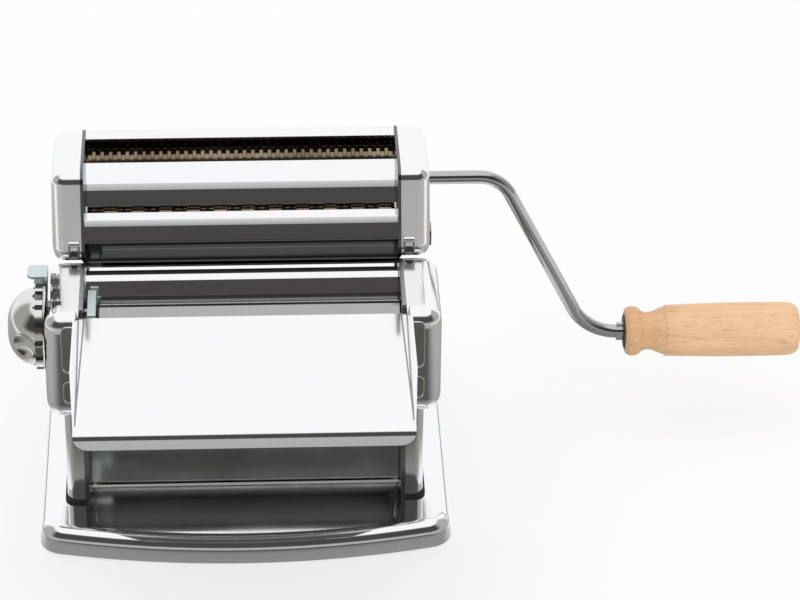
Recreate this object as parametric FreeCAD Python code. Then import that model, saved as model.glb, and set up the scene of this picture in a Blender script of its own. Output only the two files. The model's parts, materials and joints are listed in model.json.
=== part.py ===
import FreeCAD, Part

import math
import os

# All sizes are in millimetres. X runs along the rollers, to the crank side; Y runs from the feed tray
# to the back; Z is up. The origin is the centre of the base, on the surface that the feet stand on.

V = FreeCAD.Vector

# Base
base_width = 194.0
base_depth = 180.0
base_top = 13.5
base_sheet = 1.5
base_rim_gap = 1.2
base_front_radius = 385.0
base_corner_radius = 12.0
base_edge_round = 7.0
base_front_reach = 31.0
foot_radius = 8.0
foot_inset = 24.0
clamp_bore_radius = 4.6
clamp_boss_radius = 9.0
clamp_boss_length = 10.0
clamp_inset = 22.0

# Side frames, and the pressed covers outside them
roller_space = 147.4
frame_sheet = 2.0
frame_front = 11.0
frame_rear = 76.0
body_top = 118.0
cover_outside = 92.0
cover_sheet = 1.2
cover_seam = 0.3
housing_bottom = 60.0
housing_front_radius = 7.8
housing_bottom_radius = 12.0
housing_corner_radius = 7.8
housing_edge_round = 7.5
leg_outside = 84.3
leg_front = 3.0
leg_rear = 73.0
leg_edge_round = 5.0
gasket_height = 1.2
gasket_margin = 1.0
saddle_front = 50.0
saddle_rear = 66.0
saddle_drop = 10.0
housing_rear_drop = 16.0
recess_depth = 0.6
recess_width = 8.3
recess_corner = 3.0
recess_margin = 4.0
recess_bridge = 5.0
lower_recess_height = 12.0

# Smooth rollers: the front one moves, the rear one is driven
roller_radius = 13.0
roller_left_end = -66.5
roller_right_end = 73.0
roller_height = 96.5
front_roller_depth = 24.0
roller_gap_wide = 2.2
roller_gap_travel = 2.0
journal_radius = 5.0
left_journal_end = 1.1
bearing_plate_gap = 1.5
bearing_plate_inset = 1.9
running_clearance = 0.05
side_clearance = 0.3
gear_teeth = 14
gear_addendum = 1.4
gear_dedendum = 3.9
gear_left = 80.4
gear_width = 5.0
gear_tip_share = 0.1
gear_root_share = 0.24

# Bearing plate and block of the front roller, by their reach from the roller's axis
plate_lower_reach = 13.0
plate_upper_reach = 15.5
plate_upper_rear = 7.4
plate_half_height = 9.5
plate_shelf_drop = 3.5
plate_top_gap = 3.0
plate_shoulder_height = 6.5
plate_peg_margin = 3.2
block_half = 11.0
block_length = 4.0

# Drive sockets and crank
socket_radius = 3.3
socket_depth = 13.0
socket_wall_radius = 5.6
rod_radius = 3.25
crank_throw = 89.1
crank_first_corner = 124.2
crank_second_corner = 168.4
crank_first_bend = 17.0
crank_second_bend = 25.0
rod_end = 264.8
grip_start = 187.4
grip_length = 85.8
grip_bead_radius = 12.2
grip_bead_length = 7.4
grip_bead_round = 2.6
grip_neck_radius = 9.3
grip_neck_place = 10.2
grip_step_place = 19.5
grip_step_radius = 11.9
grip_waist_radius = 12.6
grip_barrel_radius = 13.3
grip_end_round = 4.0
ear_length = 3.2
ear_reach = 4.6
ear_sheet = 2.0
ear_gap = 0.8

# Thickness dial, its cam and its pawl
dial_depth = 25.0
dial_height = 99.0
dial_radius = 20.5
dial_rim = 3.6
dial_dome = 13.0
dial_dome_margin = 1.8
dial_dome_fullness = 0.72
dial_flat_share = 0.3
dial_rim_inside = 92.6
dial_notches = 15
dial_notch_width = 2.6
dial_notch_depth = 3.0
dial_spindle_radius = 4.0
dial_range = 144.0
cam_least_radius = 9.0
cam_width = 4.0
cam_inside = 77.0
peg_radius = 2.0
cam_lead = 12.0
cam_back = 1.5
dial_scoop_radius = 9.5
dial_scoop_offset = 22.0
dial_scoop_rise = 4.2
pawl_tooth_angle = 15.9
pawl_pivot_setback = 2.0
pawl_pivot_rise = 5.0
pawl_inside = 90.0
pawl_sheet = 1.3
pawl_tab_front = 6.5
pawl_tab_length = 10.5
pawl_tab_rise = 6.0
pawl_tab_reach = 8.0
bracket_foot_width = 6.0
bracket_sheet = 1.1
bracket_gap = 0.3
pawl_pin_radius = 1.6
pawl_clearance = 0.3
pawl_head_height = 1.1
pawl_head_margin = 1.2
spring_wall = 1.4
spring_length = 2.8

# Feed tray
tray_width = 150.8
tray_length = 103.6
tray_sheet = 1.0
tray_rear_depth = 6.2
tray_rear_height = 115.0
tray_slope = 3.0
tray_lip = 8.0
tray_lip_round = 5.0
tray_wall = 9.0
tray_wall_lean = 13.0
tray_wall_gap = 1.5
tray_wall_round = 18.0
tray_wall_straight = 0.62
tray_wall_end = 0.95
tray_ear_place = 60.6
tray_ear_sheet = 1.2
tray_rod_radius = 2.5
upper_rod_depth = 5.0
upper_rod_height = 106.0
lower_rod_depth = 5.0
lower_rod_height = 88.0
tie_rod_radius = 3.0
middle_rod_depth = 70.0
middle_rod_rise = 16.0
bottom_rod_depth = 61.0
bottom_rod_rise = 8.5

# Sheet metal between the frames
scraper_sheet = 0.8
scraper_lower_reach = 11.5
scraper_lower_drop = 18.5
scraper_upper_reach = 7.6
scraper_upper_drop = 10.9
chute_sheet = 1.2
chute_front = 18.0
chute_front_rise = 1.7
chute_middle_reach = 6.2
chute_middle_height = 36.0
chute_rear_reach = 10.8
chute_top_drop = 24.5
panel_depth = 68.2
panel_sheet = 1.0
panel_top_drop = 23.5
guard_front_reach = 9.9
guard_width = 12.2
guard_gap = 1.0
guard_sheet = 1.0
guard_round = 0.4

# Cutter head
ring_radius = 9.0
pair_spacing = 16.0
ring_tip_clearance = 0.15
ring_side_clearance = 0.1
narrow_strip = 2.0
wide_strip = 6.5
wide_setback = 14.5
wide_rise = 4.5
narrow_setback = 14.1
narrow_rise = 13.0
narrow_tilt = 5.0
narrow_sides = 10
wide_sides = 12
narrow_half = 73.0
wide_half = 71.5
ring_end_gap = 0.4
cutter_journal_radius = 4.0
cutter_plate_sheet = 1.5
case_outside = 89.0
case_sheet = 0.9
case_step = 0.7
case_edge_round = 6.0
case_taper_top_rise = 6.0
case_taper = 4.6
socket_hole_gap = 0.8
socket_proud = 0.6
head_sheet = 0.8
head_lean = 19.0
head_top_rise = 22.4
head_edge_gap = 0.8
cutter_gear_teeth = 12
cutter_gear_width = 6.0
cutter_gear_gap = 1.8
cutter_gear_addendum = 0.9
cutter_gear_dedendum = 1.4
cutter_hexagon = 6.4
comb_gap = 0.4
head_bar_radius = 2.2
tongue_width = 5.6
tongue_length = 15.0
tongue_depth = 70.0

# Small fits and fasteners
tray_notch_drop = 6.0
tray_notch_depth = 9.0
frame_front_reach = 1.2
screw_radius = 1.45
screw_head_radius = 3.0
screw_head_height = 1.8
screw_reach = 10.0
bore_clearance = 0.5
bush_radius = 8.5
bush_flange = 1.0
drive_journal_radius = 6.8
drive_hexagon = 11.4
plain_hexagon = 8.0
hexagon_clearance = 0.05
slot_clearance = 0.1
press_clearance = 0.03
guide_pin_depth = 13.0
guide_pin_height = 108.0
spindle_bush_radius = 6.5
seat_gap = 0.3

# Worked-out places
tray_notch_height = body_top - tray_notch_drop
pawl_pivot_depth = dial_depth + pawl_pivot_setback
pawl_pivot_height = body_top + pawl_pivot_rise
wide_front_depth = saddle_front + wide_setback
wide_front_height = body_top + wide_rise
wide_rear_depth = wide_front_depth + pair_spacing
wide_rear_height = wide_front_height
narrow_front_depth = wide_rear_depth + narrow_setback
narrow_front_height = wide_front_height + narrow_rise
pair_tilt = math.radians(narrow_tilt)
narrow_rear_depth = narrow_front_depth + pair_spacing * math.cos(pair_tilt)
narrow_rear_height = narrow_front_height + pair_spacing * math.sin(pair_tilt)
gear_pitch_radius = roller_radius + roller_gap_wide / 2
gear_tip_radius = gear_pitch_radius + gear_addendum
gear_root_radius = gear_pitch_radius - gear_dedendum
cutter_gear_tip = pair_spacing / 2 + cutter_gear_addendum
cutter_gear_root = pair_spacing / 2 - cutter_gear_dedendum
body_front = base_front_reach - base_depth / 2
frame_inside = roller_space / 2
frame_outside = frame_inside + frame_sheet
rear_roller_depth = front_roller_depth + 2 * roller_radius + roller_gap_wide
saddle_height = body_top - saddle_drop
ring_core_radius = pair_spacing - ring_radius - ring_tip_clearance
frame_lower_edge = housing_bottom + 4.0
peg_depth = dial_depth + cam_least_radius + side_clearance + peg_radius
tongue_slot_floor = saddle_height - tongue_length - seat_gap
socket_mouth = cover_outside + socket_proud
plate_right = roller_left_end - bearing_plate_gap
plate_left = -frame_inside + bearing_plate_inset
block_left = frame_outside + side_clearance
block_right = block_left + block_length
fixed_half = frame_inside - seat_gap
case_inside = frame_inside + cutter_plate_sheet
cutter_gear_left = case_inside + cutter_gear_gap
cutter_socket_mouth = case_outside + socket_proud
shaft_radius = drive_journal_radius - press_clearance
head_front = saddle_front + head_edge_gap
head_foot = body_top + seat_gap
head_top = narrow_front_height + head_top_rise
head_top_front = head_front + (head_top - head_foot) * math.tan(math.radians(head_lean))

os.makedirs("parts", exist_ok=True)


def y_of(depth):
    """Y of a place given by its distance behind the front face of the side housings."""
    return body_front + depth


def save(name, shape):
    shape.exportStep("parts/" + name + ".step")


def group(shapes):
    return Part.makeCompound(shapes)


def mirrored(shape):
    return shape.mirror(V(0, 0, 0), V(1, 0, 0))


def block(x0, x1, y0, y1, z0, z1):
    return Part.makeBox(x1 - x0, y1 - y0, z1 - z0, V(x0, y0, z0))


def rod_x(y, z, radius, x0, x1):
    return Part.makeCylinder(radius, x1 - x0, V(x0, y, z), V(1, 0, 0))


def rod_z(x, y, radius, z0, z1):
    return Part.makeCylinder(radius, z1 - z0, V(x, y, z0), V(0, 0, 1))


def tube_x(y, z, outer, inner, x0, x1):
    return rod_x(y, z, outer, x0, x1).cut(rod_x(y, z, inner, x0 - 1, x1 + 1))


def rounded_wire(points, radii):
    """Closed wire through points, with each corner rounded by its radius."""
    edges = []
    ends = []
    count = len(points)
    for i, corner in enumerate(points):
        before = points[i - 1]
        after = points[(i + 1) % count]
        radius = radii[i]
        if radius <= 0:
            ends.append((corner, corner))
            continue
        to_before = (before - corner).normalize()
        to_after = (after - corner).normalize()
        half = to_before.getAngle(to_after) / 2
        reach = radius / math.tan(half)
        start = corner + to_before * reach
        stop = corner + to_after * reach
        bisector = (to_before + to_after).normalize()
        middle = corner + bisector * (radius / math.sin(half) - radius)
        edges.append((i, Part.Arc(start, middle, stop).toShape()))
        ends.append((start, stop))
    arcs = dict(edges)
    ordered = []
    for i in range(count):
        if i in arcs:
            ordered.append(arcs[i])
        leave = ends[i][1]
        arrive = ends[(i + 1) % count][0]
        if leave.distanceToPoint(arrive) > 1e-6:
            ordered.append(Part.makeLine(leave, arrive))
    return Part.Wire(ordered)


def prism_x(points, radii, x0, x1):
    """Solid from x0 to x1 with a side profile of (depth, height) points and their corner radii."""
    corners = [V(x0, y_of(depth), height) for depth, height in points]
    face = Part.Face(rounded_wire(corners, radii))
    return face.extrude(V(x1 - x0, 0, 0))


def plain_prism_x(points, x0, x1):
    return prism_x(points, [0] * len(points), x0, x1)


def inset_points(points, distance):
    """Corners of a clockwise polygon in (depth, height), moved inward by a distance."""
    count = len(points)
    area = sum(points[i - 1][0] * points[i][1] - points[i][0] * points[i - 1][1] for i in range(count))
    side = distance if area > 0 else -distance
    lines = []
    for i in range(count):
        (ax, az), (bx, bz) = points[i], points[(i + 1) % count]
        length = math.hypot(bx - ax, bz - az)
        nx, nz = -(bz - az) / length * side, (bx - ax) / length * side
        lines.append(((ax + nx, az + nz), (bx + nx, bz + nz)))
    return [crossing(lines[i - 1], lines[i]) for i in range(count)]


def crossing(first, second):
    """Where two lines in (depth, height) meet."""
    (ax, az), (bx, bz) = first
    (cx, cz), (dx, dz) = second
    ux, uz, vx, vz = bx - ax, bz - az, dx - cx, dz - cz
    along = ((cx - ax) * vz - (cz - az) * vx) / (ux * vz - uz * vx)
    return (ax + ux * along, az + uz * along)


def strip_points(path, thickness):
    """Outline of a bent sheet whose outer face follows path; the sheet lies on the right of the path."""
    lines = []
    for (ax, az), (bx, bz) in zip(path, path[1:]):
        length = math.hypot(bx - ax, bz - az)
        nx, nz = (bz - az) / length * thickness, -(bx - ax) / length * thickness
        lines.append(((ax + nx, az + nz), (bx + nx, bz + nz)))
    inner = [lines[0][0]]
    inner += [crossing(first, second) for first, second in zip(lines, lines[1:])]
    inner.append(lines[-1][1])
    return list(path) + inner[::-1]


def polygon_rod_x(y, z, radius, sides, x0, x1):
    corners = []
    for i in range(sides):
        angle = 2 * math.pi * i / sides
        corners.append(V(x0, y + radius * math.cos(angle), z + radius * math.sin(angle)))
    return Part.Face(Part.makePolygon(corners + corners[:1])).extrude(V(x1 - x0, 0, 0))


def gear_x(y, z, teeth, tip, root, phase, bore_flat, x0, x1):
    """Spur gear with straight-flanked teeth and a hexagonal bore."""
    corners = []
    step = 2 * math.pi / teeth
    for i in range(teeth):
        centre = phase + i * step
        for share, radius in (
            (-gear_root_share, root),
            (-gear_tip_share, tip),
            (gear_tip_share, tip),
            (gear_root_share, root),
        ):
            angle = centre + share * step
            corners.append(V(x0, y + radius * math.cos(angle), z + radius * math.sin(angle)))
    body = Part.Face(Part.makePolygon(corners + corners[:1])).extrude(V(x1 - x0, 0, 0))
    return body.cut(hexagon_x(y, z, bore_flat, x0 - 1, x1 + 1))


def hexagon_x(y, z, across_flats, x0, x1):
    return polygon_rod_x(y, z, across_flats / math.sqrt(3), 6, x0, x1)


# Base plate, feet and clamp socket

def base_outline(inset, z):
    """Rounded base with a front edge that bows outward."""
    half = base_width / 2 - inset
    front = -base_depth / 2 + inset
    rear = base_depth / 2 - inset
    radius = base_front_radius - inset
    sagitta = radius - math.sqrt(radius * radius - half * half)
    left = V(-half, front + sagitta, z)
    right = V(half, front + sagitta, z)
    edges = [
        Part.Arc(left, V(0, front, z), right).toShape(),
        Part.makeLine(right, V(half, rear, z)),
        Part.makeLine(V(half, rear, z), V(-half, rear, z)),
        Part.makeLine(V(-half, rear, z), left),
    ]
    return Part.Face(Part.Wire(edges))


def base_block(inset, z0, z1, corner, edge):
    solid = base_outline(inset, z0).extrude(V(0, 0, z1 - z0))
    uprights = [e for e in solid.Edges if abs(e.BoundBox.ZLength - (z1 - z0)) < 1e-3]
    solid = solid.makeFillet(corner, uprights)
    rim = [e for e in solid.Edges if e.BoundBox.ZMin > z1 - 1e-3]
    return solid.makeFillet(edge, rim)


def make_base():
    outer = base_block(0, base_rim_gap, base_top, base_corner_radius, base_edge_round)
    inner_top = base_top - base_sheet
    inner = base_block(base_sheet, base_rim_gap, inner_top, base_corner_radius - base_sheet,
                       base_edge_round - base_sheet)
    shell = outer.cut(inner)
    clamp_y = base_depth / 2 - clamp_inset
    boss = rod_z(0, clamp_y, clamp_boss_radius, base_top - clamp_boss_length, base_top - base_sheet / 2)
    shell = shell.fuse(boss)
    return shell.cut(rod_z(0, clamp_y, clamp_bore_radius, 0, base_top + 1)).removeSplitter()


def make_feet():
    feet = []
    for sx in (-1, 1):
        for sy in (-1, 1):
            x = sx * (base_width / 2 - foot_inset)
            y = sy * (base_depth / 2 - foot_inset)
            feet.append(rod_z(x, y, foot_radius, 0, base_top - base_sheet))
    return group(feet)


save("base_plate", make_base())
save("rubber_feet", make_feet())


# Side frames, covers and what ties them together

dial_y = y_of(dial_depth)
front_roller_y = y_of(front_roller_depth)
rear_roller_y = y_of(rear_roller_depth)

rods = [
    (upper_rod_depth, upper_rod_height, tray_rod_radius),
    (lower_rod_depth, lower_rod_height, tray_rod_radius),
    (middle_rod_depth, housing_bottom + middle_rod_rise, tie_rod_radius),
    (bottom_rod_depth, base_top + bottom_rod_rise, tie_rod_radius),
]


def slot_x(y, z, radius, travel, x0, x1):
    """Round-ended slot that lets a pin of this radius travel along +Y."""
    shape = rod_x(y, z, radius, x0, x1).fuse(rod_x(y + travel, z, radius, x0, x1))
    return shape.fuse(block(x0, x1, y, y + travel, z - radius, z + radius)).removeSplitter()


def frame_plate():
    """Frame on the crank side, without the holes that differ between the sides."""
    points = [
        (leg_front + 1, base_top),
        (leg_front + 1, frame_lower_edge),
        (frame_front_reach, frame_lower_edge + 6),
        (frame_front_reach, tray_notch_height),
        (tray_notch_depth, tray_notch_height),
        (tray_notch_depth, body_top),
        (saddle_front, body_top),
        (saddle_rear, saddle_height),
        (frame_rear, body_top - housing_rear_drop),
        (frame_rear, frame_lower_edge),
        (leg_rear - 1, frame_lower_edge - 4),
        (leg_rear - 1, base_top),
    ]
    radii = [0, 0, 0, 3, 0, 2, 0, 0, 3, 0, 0, 0]
    plate = prism_x(points, radii, frame_inside, frame_outside)
    bore = screw_radius + slot_clearance
    holes = [rod_x(y_of(d), z, bore, frame_inside - 1, frame_outside + 1) for d, z, radius in rods]
    holes.append(rod_x(rear_roller_y, roller_height, bush_radius, frame_inside - 1, frame_outside + 1))
    half = tongue_width / 2 + side_clearance
    y = y_of(tongue_depth)
    holes.append(block(frame_inside - 1, frame_outside + 1, y - half, y + half, tongue_slot_floor, body_top))
    return plate.cut(holes)


def make_right_frame():
    radius = journal_radius + slot_clearance
    return frame_plate().cut(
        slot_x(front_roller_y, roller_height, radius, roller_gap_travel, frame_inside - 1, frame_outside + 1)
    )


def make_left_frame():
    plate = mirrored(frame_plate())
    radius = peg_radius + slot_clearance
    outer = -frame_outside - 1
    inner = -frame_inside + 1
    plate = plate.cut(slot_x(y_of(peg_depth), dial_height, radius, roller_gap_travel, outer, inner))
    return plate.cut(slot_x(y_of(guide_pin_depth), guide_pin_height, radius, roller_gap_travel, outer, inner))


housing_points = [
    (0.0, housing_bottom),
    (0.0, body_top),
    (saddle_front, body_top),
    (saddle_rear, saddle_height),
    (frame_rear, body_top - housing_rear_drop),
    (frame_rear, housing_bottom),
]
housing_radii = [
    housing_bottom_radius,
    housing_front_radius,
    housing_corner_radius,
    housing_corner_radius,
    housing_corner_radius,
    housing_corner_radius,
]


def round_outer_edges(solid, x, radius):
    edges = [e for e in solid.Edges if e.BoundBox.XMin > x - 1e-3]
    return solid.makeFillet(radius, edges)


def cover_body(inset):
    """Housing and leg in one piece, on the crank side, drawn in by the sheet thickness for the hollow."""
    inside = frame_outside
    points = inset_points(housing_points, inset) if inset else housing_points
    radii = [max(r - inset, 0.5) for r in housing_radii]
    housing = prism_x(points, radii, inside, cover_outside - inset)
    housing = round_outer_edges(housing, cover_outside - inset, housing_edge_round - inset)
    leg_bottom = base_top + gasket_height
    leg_points = [
        (leg_front + inset, leg_bottom),
        (leg_front + inset, housing_bottom + housing_edge_round + 2),
        (leg_rear - inset, housing_bottom + housing_edge_round + 2),
        (leg_rear - inset, leg_bottom),
    ]
    leg = plain_prism_x(leg_points, inside, leg_outside - inset)
    outer_edges = [e for e in leg.Edges if e.BoundBox.XMin > leg_outside - inset - 1e-3]
    corners = [e for e in outer_edges if e.BoundBox.ZLength > housing_edge_round]
    leg = leg.makeFillet(leg_edge_round - inset, corners)
    return housing.fuse(leg).removeSplitter()


def make_cover():
    """Pressed cover with two shallow recesses in its front face."""
    cover = cover_body(0).cut(cover_body(cover_sheet))
    y = y_of(0)
    lower = housing_bottom + housing_bottom_radius
    split = lower + lower_recess_height
    recesses = []
    for bottom, top in ((lower, split), (split + recess_bridge, body_top - recess_margin)):
        right = frame_outside + recess_width
        corners = [
            V(right, y - 1, top),
            V(right, y - 1, bottom),
            V(frame_outside - 1, y - 1, bottom),
            V(frame_outside - 1, y - 1, top),
        ]
        outline = Part.Face(rounded_wire(corners, [recess_corner, recess_corner, 0, 0]))
        recesses.append(outline.extrude(V(0, recess_depth + 1, 0)))
    return cover.cut(recesses)


def make_gasket():
    points = [
        (leg_front - gasket_margin, base_top),
        (leg_front - gasket_margin, base_top + gasket_height),
        (leg_rear + gasket_margin, base_top + gasket_height),
        (leg_rear + gasket_margin, base_top),
    ]
    gasket = plain_prism_x(points, frame_outside, leg_outside + gasket_margin)
    outer_edges = [e for e in gasket.Edges if e.BoundBox.XMin > leg_outside]
    corners = [e for e in outer_edges if e.BoundBox.ZLength > gasket_height / 2]
    return gasket.makeFillet(leg_edge_round, corners)


def drilled_bar(depth, height, radius):
    """Round bar between the frames, with a screw hole in each end."""
    y = y_of(depth)
    bore = screw_radius + running_clearance
    floor = frame_inside - screw_reach - bore_clearance
    bar = rod_x(y, height, radius, -frame_inside, frame_inside)
    hole = rod_x(y, height, bore, floor, frame_inside + 1)
    return bar.cut([hole, mirrored(hole)])


def make_rods():
    return group([drilled_bar(*rod) for rod in rods])


def make_screws():
    screws = []
    for d, z, radius in rods:
        head_face = frame_outside + screw_head_height
        head = rod_x(y_of(d), z, screw_head_radius, frame_outside, head_face)
        shank = rod_x(y_of(d), z, screw_radius, frame_inside - screw_reach, head_face - screw_head_height / 2)
        screw = head.fuse(shank).removeSplitter()
        screws += [screw, mirrored(screw)]
    return group(screws)


save("right_side_frame", make_right_frame())
save("left_side_frame", make_left_frame())


# Smooth rollers, their gears and bearings

def gear_phase(mesh_toward_rear):
    """Teeth of the front gear point at the rear gear; the rear gear shows it a gap."""
    return 0.0 if mesh_toward_rear else math.pi + math.pi / gear_teeth


def smooth_roller(y, right_journal):
    barrel = rod_x(y, roller_height, roller_radius, roller_left_end, roller_right_end)
    return barrel.fuse(rod_x(y, roller_height, right_journal, roller_right_end, gear_left - 0.5))


def make_front_roller():
    roller = smooth_roller(front_roller_y, journal_radius)
    left_end = -frame_inside + left_journal_end
    roller = roller.fuse(rod_x(front_roller_y, roller_height, journal_radius, left_end, roller_left_end))
    flats = plain_hexagon - 2 * hexagon_clearance
    seat = hexagon_x(front_roller_y, roller_height, flats, gear_left - 0.5, gear_left + gear_width + 0.5)
    return roller.fuse(seat).removeSplitter()


def make_rear_roller():
    """Barrel of the driven roller, pressed on its shaft."""
    x0, x1 = roller_left_end, roller_right_end
    barrel = rod_x(rear_roller_y, roller_height, roller_radius, x0, x1)
    return barrel.cut(rod_x(rear_roller_y, roller_height, drive_journal_radius, x0, x1))


def make_rear_shaft():
    """Shaft with its two journals, the gear's hexagon and the socket for the crank."""
    left_end = -frame_outside - bush_flange - bearing_plate_gap
    shaft = rod_x(rear_roller_y, roller_height, drive_journal_radius, left_end, roller_left_end)
    middle = rod_x(rear_roller_y, roller_height, shaft_radius, roller_left_end, roller_right_end)
    journal = rod_x(rear_roller_y, roller_height, drive_journal_radius, roller_right_end, gear_left - 0.5)
    flats = drive_hexagon - 2 * hexagon_clearance
    seat = hexagon_x(rear_roller_y, roller_height, flats, gear_left - 0.5, gear_left + gear_width)
    socket = rod_x(rear_roller_y, roller_height, socket_wall_radius, gear_left, socket_mouth)
    bore = rod_x(rear_roller_y, roller_height, socket_radius, socket_mouth - socket_depth, socket_mouth + 1)
    return shaft.fuse([middle, journal, seat, socket]).cut(bore).removeSplitter()


def smooth_gear(y, hexagon, mesh_toward_rear):
    return gear_x(y, roller_height, gear_teeth, gear_tip_radius, gear_root_radius,
                  gear_phase(mesh_toward_rear), hexagon, gear_left, gear_left + gear_width)


def make_bushes():
    outer = bush_radius - press_clearance
    inner = drive_journal_radius + running_clearance
    flange_end = frame_outside + bush_flange
    flange = tube_x(rear_roller_y, roller_height, outer + 1.5, inner, frame_outside, flange_end)
    sleeve = tube_x(rear_roller_y, roller_height, outer, inner, frame_inside, frame_outside)
    bush = sleeve.fuse(flange).removeSplitter()
    return group([bush, mirrored(bush)])


def make_left_bearing_plate():
    """Plate that carries the left end of the front roller and shows at the end of the rollers."""
    bottom = roller_height - plate_half_height
    shelf = roller_height - plate_shelf_drop
    shoulder = roller_height + plate_shoulder_height
    top = body_top - plate_top_gap
    rear = peg_depth + plate_peg_margin
    points = [
        (front_roller_depth - plate_lower_reach, bottom),
        (front_roller_depth - plate_lower_reach, shelf),
        (front_roller_depth - plate_upper_reach, shelf),
        (front_roller_depth - plate_upper_reach, top),
        (front_roller_depth + plate_upper_rear, top),
        (front_roller_depth + plate_upper_rear, roller_height + plate_half_height),
        (rear, shoulder),
        (rear, bottom),
    ]
    plate = prism_x(points, [1, 0, 0, 1, 1, 3, 1, 1], plate_left, plate_right)
    bore = journal_radius + running_clearance
    plate = plate.cut(rod_x(front_roller_y, roller_height, bore, plate_left - 1, plate_right + 1))
    peg = rod_x(y_of(peg_depth), dial_height, peg_radius, -cam_inside - cam_width, plate_left)
    pin = rod_x(y_of(guide_pin_depth), guide_pin_height, peg_radius, -frame_outside - 1, plate_left)
    return plate.fuse([peg, pin]).removeSplitter()


def make_right_bearing_block():
    half = block_half
    outline = [
        (front_roller_depth - half, roller_height - half),
        (front_roller_depth - half, roller_height + half),
        (front_roller_depth + half, roller_height + half),
        (front_roller_depth + half, roller_height - half),
    ]
    body = prism_x(outline, [2, 2, 2, 2], block_left, block_right)
    bore = journal_radius + running_clearance
    return body.cut(rod_x(front_roller_y, roller_height, bore, block_left - 1, block_right + 1))


# Dial, spindle and cam: the cam pushes the bearing plate's peg back by the same amount for each degree

def make_dial():
    inside = -dial_rim_inside
    outer = inside - dial_rim
    tip = outer - dial_dome
    dome_foot = dial_radius - dial_dome_margin
    shoulder = V(outer - dial_dome * dial_dome_fullness, dial_y, dial_height + dome_foot * dial_dome_fullness)
    flat = dome_foot * dial_flat_share
    base = V(0, dial_y, dial_height)
    def at(x, r):
        return V(x, dial_y, dial_height + r)
    edges = [
        Part.makeLine(at(inside, 0), at(inside, dial_radius)),
        Part.makeLine(at(inside, dial_radius), at(outer, dial_radius)),
        Part.makeLine(at(outer, dial_radius), at(outer, dome_foot)),
        Part.Arc(at(outer, dome_foot), shoulder, at(tip, flat)).toShape(),
        Part.makeLine(at(tip, flat), at(tip, 0)),
        Part.makeLine(at(tip, 0), at(inside, 0)),
    ]
    dial = Part.Face(Part.Wire(edges)).revolve(base, V(1, 0, 0), 360)
    cuts = []
    for i in range(dial_notches):
        notch = block(outer - 1, inside + 1, dial_y - dial_notch_width / 2, dial_y + dial_notch_width / 2,
                      dial_height + dial_radius - dial_notch_depth, dial_height + dial_radius + 1)
        notch.rotate(base, V(1, 0, 0), -(pawl_tooth_angle + i * 360.0 / dial_notches))
        cuts.append(notch)
    for side in (-1, 1):
        centre = V(tip + dial_scoop_rise, dial_y + side * dial_scoop_offset, dial_height)
        cuts.append(Part.makeSphere(dial_scoop_radius, centre))
    return dial.cut(cuts)


def make_spindle():
    return rod_x(dial_y, dial_height, dial_spindle_radius, -dial_rim_inside, -cam_inside + 0.6)


def make_cam():
    rise = roller_gap_travel / math.radians(dial_range)
    corners = []
    steps = 24
    for i in range(steps + 1):
        degrees = -cam_lead + (dial_range + 2 * cam_lead) * i / steps
        radius = cam_least_radius + rise * math.radians(degrees)
        angle = math.radians(degrees)
        corners.append(V(0, dial_y + radius * math.cos(angle), dial_height + radius * math.sin(angle)))
    start, stop = corners[0], corners[-1]
    curve = Part.BSplineCurve()
    curve.interpolate(corners)
    back_angle = math.radians(dial_range / 2 + 180.0)
    back_radius = cam_least_radius - cam_back
    back = V(0, dial_y + back_radius * math.cos(back_angle), dial_height + back_radius * math.sin(back_angle))
    wire = Part.Wire([curve.toShape(), Part.Arc(stop, back, start).toShape()])
    cam = Part.Face(wire).extrude(V(-cam_width, 0, 0))
    cam.translate(V(-cam_inside, 0, 0))
    bore = dial_spindle_radius + press_clearance
    return cam.cut(rod_x(dial_y, dial_height, bore, -cam_inside - cam_width - 1, -cam_inside + 1))


def make_spindle_bush():
    inner = dial_spindle_radius + running_clearance
    sleeve = tube_x(dial_y, dial_height, spindle_bush_radius, inner, -cover_outside, -cover_outside + 4.0)
    return sleeve


def make_right_cover():
    cover = make_cover()
    hole = socket_wall_radius + socket_hole_gap
    return cover.cut(rod_x(rear_roller_y, roller_height, hole, leg_outside, cover_outside + 1))


def make_left_cover():
    cover = mirrored(make_cover())
    hole = spindle_bush_radius + press_clearance
    return cover.cut(rod_x(dial_y, dial_height, hole, -cover_outside - 1, -leg_outside))


save("right_side_cover", make_right_cover())
save("left_side_cover", make_left_cover())
gasket = make_gasket()
save("leg_gaskets", group([gasket, mirrored(gasket)]))
save("tie_rods", make_rods())
save("frame_screws", make_screws())
save("front_roller", make_front_roller())
save("rear_roller", make_rear_roller())
save("rear_roller_shaft", make_rear_shaft())
save("front_roller_gear", smooth_gear(front_roller_y, plain_hexagon, True))
save("rear_roller_gear", smooth_gear(rear_roller_y, drive_hexagon, False))
save("rear_roller_bushes", make_bushes())
save("left_bearing_plate", make_left_bearing_plate())
save("right_bearing_block", make_right_bearing_block())
save("thickness_dial", make_dial())
save("dial_spindle", make_spindle())
save("dial_cam", make_cam())
save("dial_bush", make_spindle_bush())


# Pawl over the dial's rim, with its bracket and spring

pivot_y = y_of(pawl_pivot_depth)
spring_start = bracket_sheet + bracket_gap - pawl_inside + running_clearance


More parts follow.
